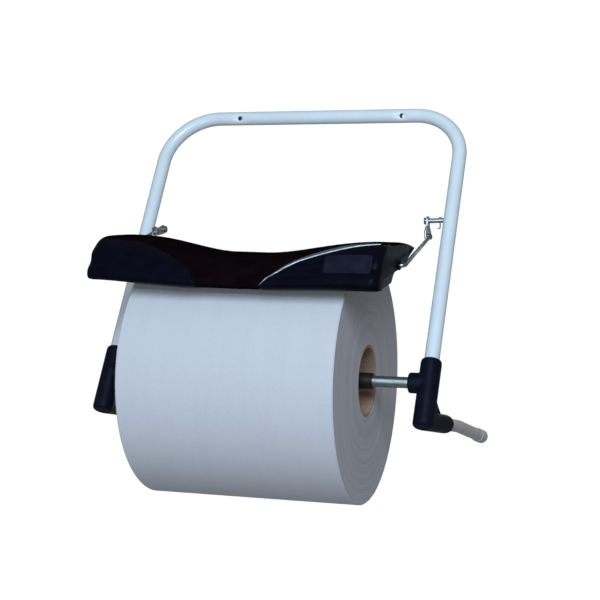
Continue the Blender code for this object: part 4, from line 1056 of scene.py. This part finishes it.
def spline(points, steps):
    """Smooth curve through the points, in even shares of each span."""
    smooth = []
    for i, (p1, p2) in enumerate(zip(points, points[1:])):
        p0 = points[max(i - 1, 0)]
        p3 = points[min(i + 2, len(points) - 1)]
        for k in range(steps):
            t = k / steps
            curve = p1 * 2 + (p2 - p0) * t + (p0 * 2 - p1 * 5 + p2 * 4 - p3) * t * t
            smooth.append((curve + (p1 * 3 - p0 - p2 * 3 + p3) * t * t * t) * 0.5)
    smooth.append(points[-1])
    return smooth


def shares_to_points(shares, low, height):
    return [Vector((HOOD_REAR - HOOD_DEPTH * s[0], low + height * s[1])) for s in shares]


def height_on(line, at):
    return np.interp(at, [p[0] for p in line], [p[1] for p in line])


def wing_rise(x, share):
    """How far the hood's wings stand proud of its middle: beyond the arc and the crease."""
    line = ARC if x > 0 else CREASE
    at = abs(x) / HALF_HOOD
    from_tip = at - line[0][0] + WING_TIP
    if from_tip < 0:
        return 0.0
    rise = WING_RISE * eased((share - height_on(line, at)) / WING_BAND + 0.5)
    fade = 1 - clamped((at - LEFT_FADE[0]) / LEFT_FADE[1]) if x < 0 else 1
    return rise * clamped(from_tip / (2 * WING_TIP)) * fade


def outward(points):
    normals = []
    for i in range(len(points)):
        before, after = neighbours(points, i)
        along = (after - before).normalized()
        normals.append(Vector((along.y, -along.x)))
    return normals


def lengths_along(points):
    lengths = [0.0]
    for a, b in zip(points, points[1:]):
        lengths.append(lengths[-1] + (b - a).length)
    return lengths


def hood_outline(x, inset=0.0, rounding=0.0, relief=True):
    """The hood's smooth outline at one place along it."""
    w = blend(x)
    ends = shares_to_points(END_OUTLINE, END_LOW, END_HEIGHT)
    mids = shares_to_points(MID_OUTLINE, MID_LOW, MID_HEIGHT)
    back = [Vector((rounding * share, 0)) for share in BACK_SHARES]
    points = spline([m.lerp(e, w) + b for m, e, b in zip(mids, ends, back)], FINE)
    rounds = spline([Vector((share, 0)) for share in ROUND_SHARES], FINE)
    lengths = lengths_along(points)
    moved = []
    for point, normal, share, length in zip(points, outward(points), rounds, lengths):
        rise = wing_rise(x, length / lengths[-1]) if relief else 0
        moved.append(point + normal * (rise - inset - rounding * share.x))
    return moved


def hood_stations(wall, step):
    """Places along the hood, and how far its ends' rounding has gone at each."""
    straight = HALF_HOOD - END_ROUND
    radius = END_ROUND - wall
    count = 2 * round(straight / step)
    stations = [(-straight + 2 * straight * k / count, 0) for k in range(count + 1)]
    right = arc(-QUARTER, 0, 7, radius, centre=(straight, radius))[1:]
    return [(-x, rounding) for x, rounding in reversed(right)] + stations + right


def end_edge(rounding, w=1):
    low = MID_LOW + (END_LOW - MID_LOW) * w
    points = shares_to_points(END_EDGE, low, MID_HEIGHT + (END_HEIGHT - MID_HEIGHT) * w)
    return spline([p + Vector((rounding * s[3], rounding * s[2])) for p, s in zip(points, END_EDGE)], 4)


def share_point(u, v):
    return Vector((0, HOOD_REAR - HOOD_DEPTH * u, END_LOW + END_HEIGHT * v))


LUG_SHARES = (0.458, 0.478)
SLOT_SHARES = (0.120, 0.770)
LUG = share_point(*LUG_SHARES)
SLOT = share_point(*SLOT_SHARES)


def make_hood():
    rings = []
    for x, rounding in hood_stations(0, STATION_STEP):
        section = hood_outline(x, 0, rounding) + end_edge(rounding, blend(x))
        rings.append([(x, y, z) for y, z in section])
    hood = loft("moulded_hood", rings)
    rings = []
    for x, rounding in hood_stations(HOOD_WALL, 2 * STATION_STEP):
        skin = hood_outline(x, HOOD_WALL, rounding, relief=False)
        behind = skin[0] + (skin[0] - skin[1]).normalized() * HOLLOW_DOWN
        low = MID_LOW - HOLLOW_DOWN
        closing = [Vector((skin[-1].x, low)), Vector((behind.x, low)), behind]
        rings.append([(x, y, z) for y, z in skin + closing])
    combine(hood, loft("hollow", rings), "DIFFERENCE")
    for sign in SIDES.values():
        start = LUG + X * sign * (HALF_HOOD - HOOD_WALL - LUG_IN)
        end = LUG + X * sign * (HALF_HOOD + LUG_OUT)
        beyond = X * sign * OVERSHOOT
        combine(hood, rod("lug", start, end, LUG_RADIUS), "UNION")
        drill(hood, start - beyond, end + beyond, WIRE + GAP)
        combine(hood, slot_cutter(sign), "DIFFERENCE")
    bevel(hood, HOOD_EDGE, 50)
    hood.data.transform(HOOD)
    back = HOOD.inverted()
    finished(
        hood, HOOD_MIDDLE, "cover", "cover_shell", 48,
        other=HOOD_WING, is_other=lambda face: in_wing(back @ face.center, face.normal),
    )


def in_wing(spot, normal):
    """True on the end walls and on the outside of the two wings, below the arc and the crease."""
    if abs(spot.x) > HALF_HOOD - WALL_BAND:
        return True
    line = ARC_PLACES if spot.x > 0 else CREASE_PLACES
    if normal.y > 0.5 or abs(spot.x) < line[0][0]:
        return False
    return spot.z < height_on(line, abs(spot.x)) and spot.y < WING_FRONT


def slot_cutter(sign):
    edge = end_edge(0)
    rise = edge[-1] - edge[-3]
    along = Vector((0, rise.x, rise.y)).normalized()
    across = X.cross(along)
    rings = []
    for x in (HALF_HOOD - SLOT_DEEP, HALF_HOOD + OVERSHOOT):
        ring = []
        for c, s in unit_circle(24):
            reach = copysign(SLOT_HALF, c) + SLOT_RADIUS * c
            ring.append(SLOT + X * sign * x + along * reach + across * SLOT_RADIUS * s)
        rings.append(ring)
    return loft("slot", rings)


def hood_place(x, share, relief=True):
    """Point and outward direction at a share of the way along the outline, in the hood's frame."""
    points = hood_outline(x, relief=relief)
    normals = outward(points)
    lengths = lengths_along(points)
    want = share * lengths[-1]
    i = max(min(int(np.searchsorted(lengths, want)), len(points) - 1), 1)
    t = (want - lengths[i - 1]) / (lengths[i] - lengths[i - 1])
    spot = points[i - 1].lerp(points[i], t)
    normal = normals[i - 1].lerp(normals[i], t).normalized()
    return Vector((x, spot.x, spot.y)), Vector((0, normal.x, normal.y))


def places_on(line, sign):
    """Distance from the hood's middle and height of the line's places."""
    spots = [hood_place(sign * s[0] * HALF_HOOD, s[1], False)[0] for s in line]
    return [(abs(spot.x), spot.z) for spot in spots]


ARC_PLACES = places_on(ARC, 1)
CREASE_PLACES = places_on(CREASE[:-1], -1)
CREASE_PLACES.append((HALF_HOOD, hood_place(*CREASE_END, False)[0].z))


def make_trim():
    """Half-round bright bead along the right wing's edge, tapered to both tips."""
    path = spline([Vector(p) for p in ARC], 5)
    places = [hood_place(x * HALF_HOOD, share, False) for x, share, _ in path]
    spots = [spot for spot, _ in places]
    rings = []
    for i, ((spot, normal), (_, _, width)) in enumerate(zip(places, path)):
        before, after = neighbours(spots, i)
        along = (after - before).normalized()
        normal = (normal - along * along.dot(normal)).normalized()
        across = along.cross(normal).normalized()
        half = BEAD_HALF * max(width, BEAD_TIP)
        height = BEAD_LOW + BEAD_RISE * width ** 0.5
        ring = []
        for k in range(9):
            a = pi * k / 8
            rise = GAP + height * sin(a) ** 0.8
            ring.append(HOOD @ (spot + across * half * cos(a) + normal * rise))
        rings.append(ring)
    finished(loft("bright_arc", rings), TRIM, "cover", "cover_trim_arc", 70)


def make_plate():
    """Bare plate with rounded corners, on the hood's right wing."""
    corners = softened(box(-1, 1, -1, 1), PLATE_ROUND, 8)
    outline = []
    for a, b in zip(corners, corners[1:] + corners[:1]):
        outline += [(a[0] + (b[0] - a[0]) * k / 4, a[1] + (b[1] - a[1]) * k / 4) for k in range(4)]
    rings = []
    for scale, height in PLATE_LEVELS:
        ring = []
        for u, v in outline:
            x = HALF_HOOD * (PLATE_PLACE[0] + PLATE_HALF[0] * u * scale)
            spot, normal = hood_place(x, PLATE_PLACE[1] - PLATE_HALF[1] * v * scale)
            ring.append(HOOD @ (spot + normal * height))
        rings.append(ring)
    finished(loft("bare_plate", rings), PLATE_PLASTIC, "cover", "cover_plate", 60)


# Arms; the right link is twisted between its two holes
STUD_UP = {"left": 0.1555, "right": 0.1675}
STUD_OUT = 0.1585
STUD_DEEP = 0.0045
STUD_INNER = 0.0028
STUD_HEAD = 0.004
HEAD_THICK = 0.0014
LINK_TURN = {"left": radians(-82), "right": radians(-15)}
LINK_TWIST = {"left": 0.0, "right": radians(42)}
TWIST_FROM = 0.0046
TWIST_TO = 0.0144
LINK_LENGTH = 0.0185
LINK_HALF = 0.0014
LINK_EDGE = 0.0005
LINK_CUT = 0.003
BIG_END = 0.00525
SMALL_END = 0.004
PIN = 0.00085
PIN_OFF = 0.0026
PIN_HOLE = 0.0009
PIN_HOLE_HALF = 0.0054
PIN_HEAD = 0.0017
PIN_HEAD_THICK = 0.001
PIN_TOP = 0.003
PIN_LOOP = (-0.0004, 0.0012, 0.0006)
PIN_STRAIGHT = (0.004, 0.0068)
PIN_CURL = 0.0022
PIN_CURL_TURN = radians(110)
RIVET_HEAD = 0.0028
RIVET_RISE = 0.0009
EYE = 0.0038
EYE_THICK = 0.0026
EYE_CUT = 0.002
EYE_OUT = LINK_HALF + GAP
WIRE_BEND = 0.0042
WIRE_START = 0.0032
WIRE_TIP = 0.0075
CAP = 0.00425
CAP_THICK = 0.0007
CAP_COLLAR = (0.0008, 0.0016)


def stud_centre(side):
    up = STUD_UP[side]
    return AXLE + Vector((SIDES[side] * STUD_OUT + HOOD_SHIFT, up * tan(LEAN), up))


def stud_direction(side):
    return (stud_centre("right") - stud_centre("left")).normalized() * SIDES[side]


def stud_ends(side):
    direction = stud_direction(side)
    centre = stud_centre(side)
    reach = (HALF_WIDTH - abs(centre.x)) / abs(direction.x) - TUBE + STUD_DEEP
    return centre + direction * reach, centre - direction * STUD_INNER


def link_frame(side):
    hang = Matrix.Rotation(LINK_TURN[side], 3, "X") @ -Z
    return axis_frame(stud_centre(side), stud_direction(side), hang)


def rivet_frame(side):
    """The link's far hole, turned as far as the plate is twisted."""
    far = Matrix.Translation((LINK_LENGTH, 0, 0)) @ Matrix.Rotation(LINK_TWIST[side], 4, "X")
    return link_frame(side) @ far


def make_arm(side):
    outer_end, inner_end = stud_ends(side)
    direction = stud_direction(side)
    length = (outer_end - inner_end).length
    outline = [(0, -HEAD_THICK), (STUD_HEAD, -HEAD_THICK), (STUD_HEAD, 0), (STUD, 0)]
    outline += [(STUD, length), (0, length)]
    stud = turned("stud_" + side, outline, axis_frame(inner_end, direction, Z), EDGE_ROUND, 48, 4)
    out = (HALF_WIDTH - TUBE - PIN_OFF - abs(stud_centre(side).x)) / abs(direction.x)
    middle = stud_centre(side) + direction * out
    drill(stud, middle - Z * PIN_HOLE_HALF, middle + Z * PIN_HOLE_HALF, PIN_HOLE + GAP, 24)
    finished(stud, ZINC, "frame", side + "_pivot_stud")

    make_split_pin(side, middle)
    make_link(side)
    make_rivet(side)
    make_wire(side)


def make_split_pin(side, middle):
    """Folded wire pin: a looped head, a shank through the stud, and a tip that curls."""
    top = middle + Z * PIN_TOP
    curl = -SIDES[side]
    aside, high, low = PIN_LOOP
    path = [top + Vector((curl * aside, 0, high)), top + Vector((0, 0, low)), top, middle]
    path += [middle - Z * down for down in PIN_STRAIGHT]
    for k in range(1, 7):
        a = PIN_CURL_TURN * k / 6
        bend = Vector((curl * PIN_CURL * (1 - cos(a)), 0, -PIN_CURL * sin(a)))
        path.append(middle - Z * PIN_STRAIGHT[1] + bend)
    pin = wire_piece("folded_pin_" + side, path, PIN, 20)
    head = turned("head", box(0, PIN_HEAD, 0, PIN_HEAD_THICK), axis_frame(top, Z, X), sides=32)
    combine(pin, head, "UNION")
    finished(pin, WIRE_ZINC, "frame", side + "_stud_pin", 50)


def twist(plate, angle):
    """Turn the plate's far end about its length, between the two holes."""
    bm = bmesh.new()
    bm.from_mesh(plate.data)
    for x in np.linspace(TWIST_FROM, TWIST_TO, 13):
        everything = bm.verts[:] + bm.edges[:] + bm.faces[:]
        bmesh.ops.bisect_plane(bm, geom=everything, plane_co=(x, 0, 0), plane_no=(1, 0, 0))
    for vertex in bm.verts:
        share = eased((vertex.co.x - TWIST_FROM) / (TWIST_TO - TWIST_FROM))
        vertex.co = Matrix.Rotation(angle * share, 3, "X") @ vertex.co
    bm.to_mesh(plate.data)
    bm.free()


def make_link(side):
    lean = asin((BIG_END - SMALL_END) / LINK_LENGTH)
    outline = arc(QUARTER - lean, 3 * QUARTER + lean, 23, BIG_END)
    outline += arc(lean - QUARTER, QUARTER - lean, 19, SMALL_END, centre=(LINK_LENGTH, 0))
    flat = LINK_HALF - LINK_EDGE
    rings = []
    for inset, z in ((LINK_EDGE, -LINK_HALF), (0, -flat), (0, flat), (LINK_EDGE, LINK_HALF)):
        ring = []
        for x, y in outline:
            centre = 0 if x < LINK_LENGTH / 2 else LINK_LENGTH
            reach = Vector((x - centre, y))
            reach *= 1 - inset / reach.length
            ring.append(Vector((centre + reach.x, reach.y, z)))
        rings.append(ring)
    plate = loft("link_plate_" + side, rings)
    for along, radius in ((0, STUD), (LINK_LENGTH, RIVET)):
        drill(plate, (along, 0, -LINK_CUT), (along, 0, LINK_CUT), radius + GAP)
    twist(plate, LINK_TWIST[side])
    plate.data.transform(link_frame(side))
    finished(plate, LINK_ZINC_WITH_PAINTED_HIGHLIGHT, "cover", side + "_arm_link", 40)


def make_rivet(side):
    low = -LINK_HALF - SNUG
    high = EYE_OUT + EYE_THICK + SNUG
    outline = arc(-QUARTER, 0, 6, RIVET_HEAD, RIVET_RISE, (0, low)) + [(RIVET, low), (RIVET, high)]
    outline += arc(0, QUARTER, 6, RIVET_HEAD, RIVET_RISE, (0, high))
    rivet = lathe("rivet_" + side, outline, rivet_frame(side), 40)
    finished(rivet, ZINC, "cover", side + "_arm_rivet", 50)


def make_wire(side):
    outwards = X * SIDES[side]
    turn = HOOD.to_3x3()
    place = rivet_frame(side)
    start = place @ Vector((0, 0, EYE_OUT + WIRE))
    lug = HOOD @ (LUG + outwards * HALF_HOOD)
    corner = lug + turn @ (outwards * (LUG_OUT + WIRE_BEND + 2 * GAP))
    inward = turn @ -outwards
    path = corner_path([start, corner, lug + inward * (HOOD_WALL + WIRE_TIP)], WIRE_BEND, 10)
    path[0] += (path[1] - path[0]).normalized() * WIRE_START
    wire = wire_piece("bent_wire_" + side, path, WIRE, 28)
    eye = turned("eye", box(0, EYE, EYE_OUT, EYE_OUT + EYE_THICK), place, EDGE_ROUND, 48, 4)
    combine(wire, eye, "UNION")
    low, high = (place @ Vector((0, 0, EYE_OUT + up)) for up in (-EYE_CUT, EYE_THICK + EYE_CUT))
    drill(wire, low, high, RIVET + GAP)
    finished(wire, WIRE_ZINC, "cover", side + "_arm_wire", 50)

    cap_place = axis_frame(lug + inward * (HOOD_WALL + LUG_IN + GAP), inward, Y)
    bore = WIRE + SNUG
    wide, up = CAP_COLLAR
    outline = [(bore, 0), (CAP, 0), (CAP, CAP_THICK), (bore + wide, up), (bore, up)]
    cap = turned("push_cap_" + side, outline, cap_place, TINY_ROUND, 40)
    finished(cap, ZINC, "cover", side + "_wire_cap")


# Stage, lights and camera
FLOOR_PLACE = (0, 0, -1.5)
FLOOR_RADIUS = 1.35
MIDDLE = Vector((0, -0.18, -0.25))
LAMPS = (
    ("key_light", (0.66, -2.08, 1.28), 1.4, 47.5, (0.68, 0.83, 1.0)),
    ("front_light", (0.0, -2.6, 0.06), 0.9, 11, (0.76, 0.86, 1.0)),
)
GLOW_TOWARDS = (-0.3085, 0.9479, -0.0788)
GLOW_OUTER = cos(radians(21))
GLOW_INNER = cos(radians(17.6))
DIM = 0.158
BRIGHT = 1.05
CAMERA_PLACE = (0.498, -1.5928, -0.0869)
CAMERA_AZIMUTH = radians(18.03)
CAMERA_ELEVATION = radians(4.52)
LENS = 82.97


def make_stage():
    bm = bmesh.new()
    place = Matrix.Translation(FLOOR_PLACE)
    bmesh.ops.create_circle(bm, cap_ends=True, segments=96, radius=FLOOR_RADIUS, matrix=place)
    floor = mesh_piece("studio_floor", bm)
    pale = finish("pale_floor", (0.6, 0.6, 0.6), 0.9)
    paint_with(pale, noise_field(pale, 3, 3), (0.3, (0.59, 0.59, 0.59)), (0.7, (0.61, 0.61, 0.61)))
    floor.data.materials.append(pale)


def area_light(name, offset, size, power, colour):
    """A round lamp that is aimed at the object's middle."""
    lamp = bpy.data.lights.new(name, "AREA")
    lamp.shape = "DISK"
    lamp.size = size
    lamp.energy = power
    lamp.color = colour
    light = bpy.data.objects.new(name, lamp)
    bpy.context.scene.collection.objects.link(light)
    light.matrix_world = axis_frame(MIDDLE + Vector(offset), Vector(offset).normalized(), Z)


def make_world():
    """A dim world with a bright field behind the object, and an evenly white background."""
    world = bpy.data.worlds.new("studio")
    bpy.context.scene.world = world
    world.use_nodes = True
    shade = world.node_tree.nodes["Background"]
    shade.inputs["Color"].default_value = (0.97, 0.985, 1.0, 1)
    direction = node(world, "ShaderNodeTexCoord")
    towards = node(world, "ShaderNodeVectorMath", {1: GLOW_TOWARDS}, operation="DOT_PRODUCT")
    link(world, direction.outputs["Generated"], towards.inputs[0])
    sockets = {"From Min": GLOW_OUTER, "From Max": GLOW_INNER, "To Min": DIM, "To Max": BRIGHT}
    spread = node(world, "ShaderNodeMapRange", sockets, interpolation_type="SMOOTHSTEP")
    link(world, towards.outputs["Value"], spread.inputs["Value"])
    seen = node(world, "ShaderNodeLightPath")
    lifted = node(world, "ShaderNodeMath", {1: BRIGHT}, operation="MULTIPLY")
    link(world, seen.outputs["Is Camera Ray"], lifted.inputs[0])
    bright = node(world, "ShaderNodeMath", operation="MAXIMUM")
    link(world, spread.outputs["Result"], bright.inputs[0])
    link(world, lifted.outputs["Value"], bright.inputs[1])
    link(world, bright.outputs["Value"], shade.inputs["Strength"])


def make_camera():
    across = Vector((cos(CAMERA_AZIMUTH), sin(CAMERA_AZIMUTH), 0))
    back = Z.cross(across) * -cos(CAMERA_ELEVATION) + Z * sin(CAMERA_ELEVATION)
    data = bpy.data.cameras.new("camera")
    data.lens = LENS
    data.sensor_width = 36
    data.clip_start = 0.05
    camera = bpy.data.objects.new("camera", data)
    bpy.context.scene.collection.objects.link(camera)
    camera.matrix_world = axis_frame(CAMERA_PLACE, back, across)
    bpy.context.scene.camera = camera


def dress_kept_nodes():
    """The tear strip keeps its solid and gets its metal."""
    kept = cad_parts["tear_strip"]
    kept.data.materials.clear()
    kept.data.materials.append(STEEL)


def main():
    make_camera()
    make_frame_tube()
    for side in SIDES:
        make_elbow(side)
        make_standoff(side)
        make_arm(side)
    make_axle()
    make_spring()
    make_roll()
    make_sheet()
    make_hood()
    make_trim()
    make_plate()
    dress_kept_nodes()
    make_stage()
    for lamp in LAMPS:
        area_light(*lamp)
    make_world()
    bpy.context.scene.view_settings.view_transform = "Standard"


main()
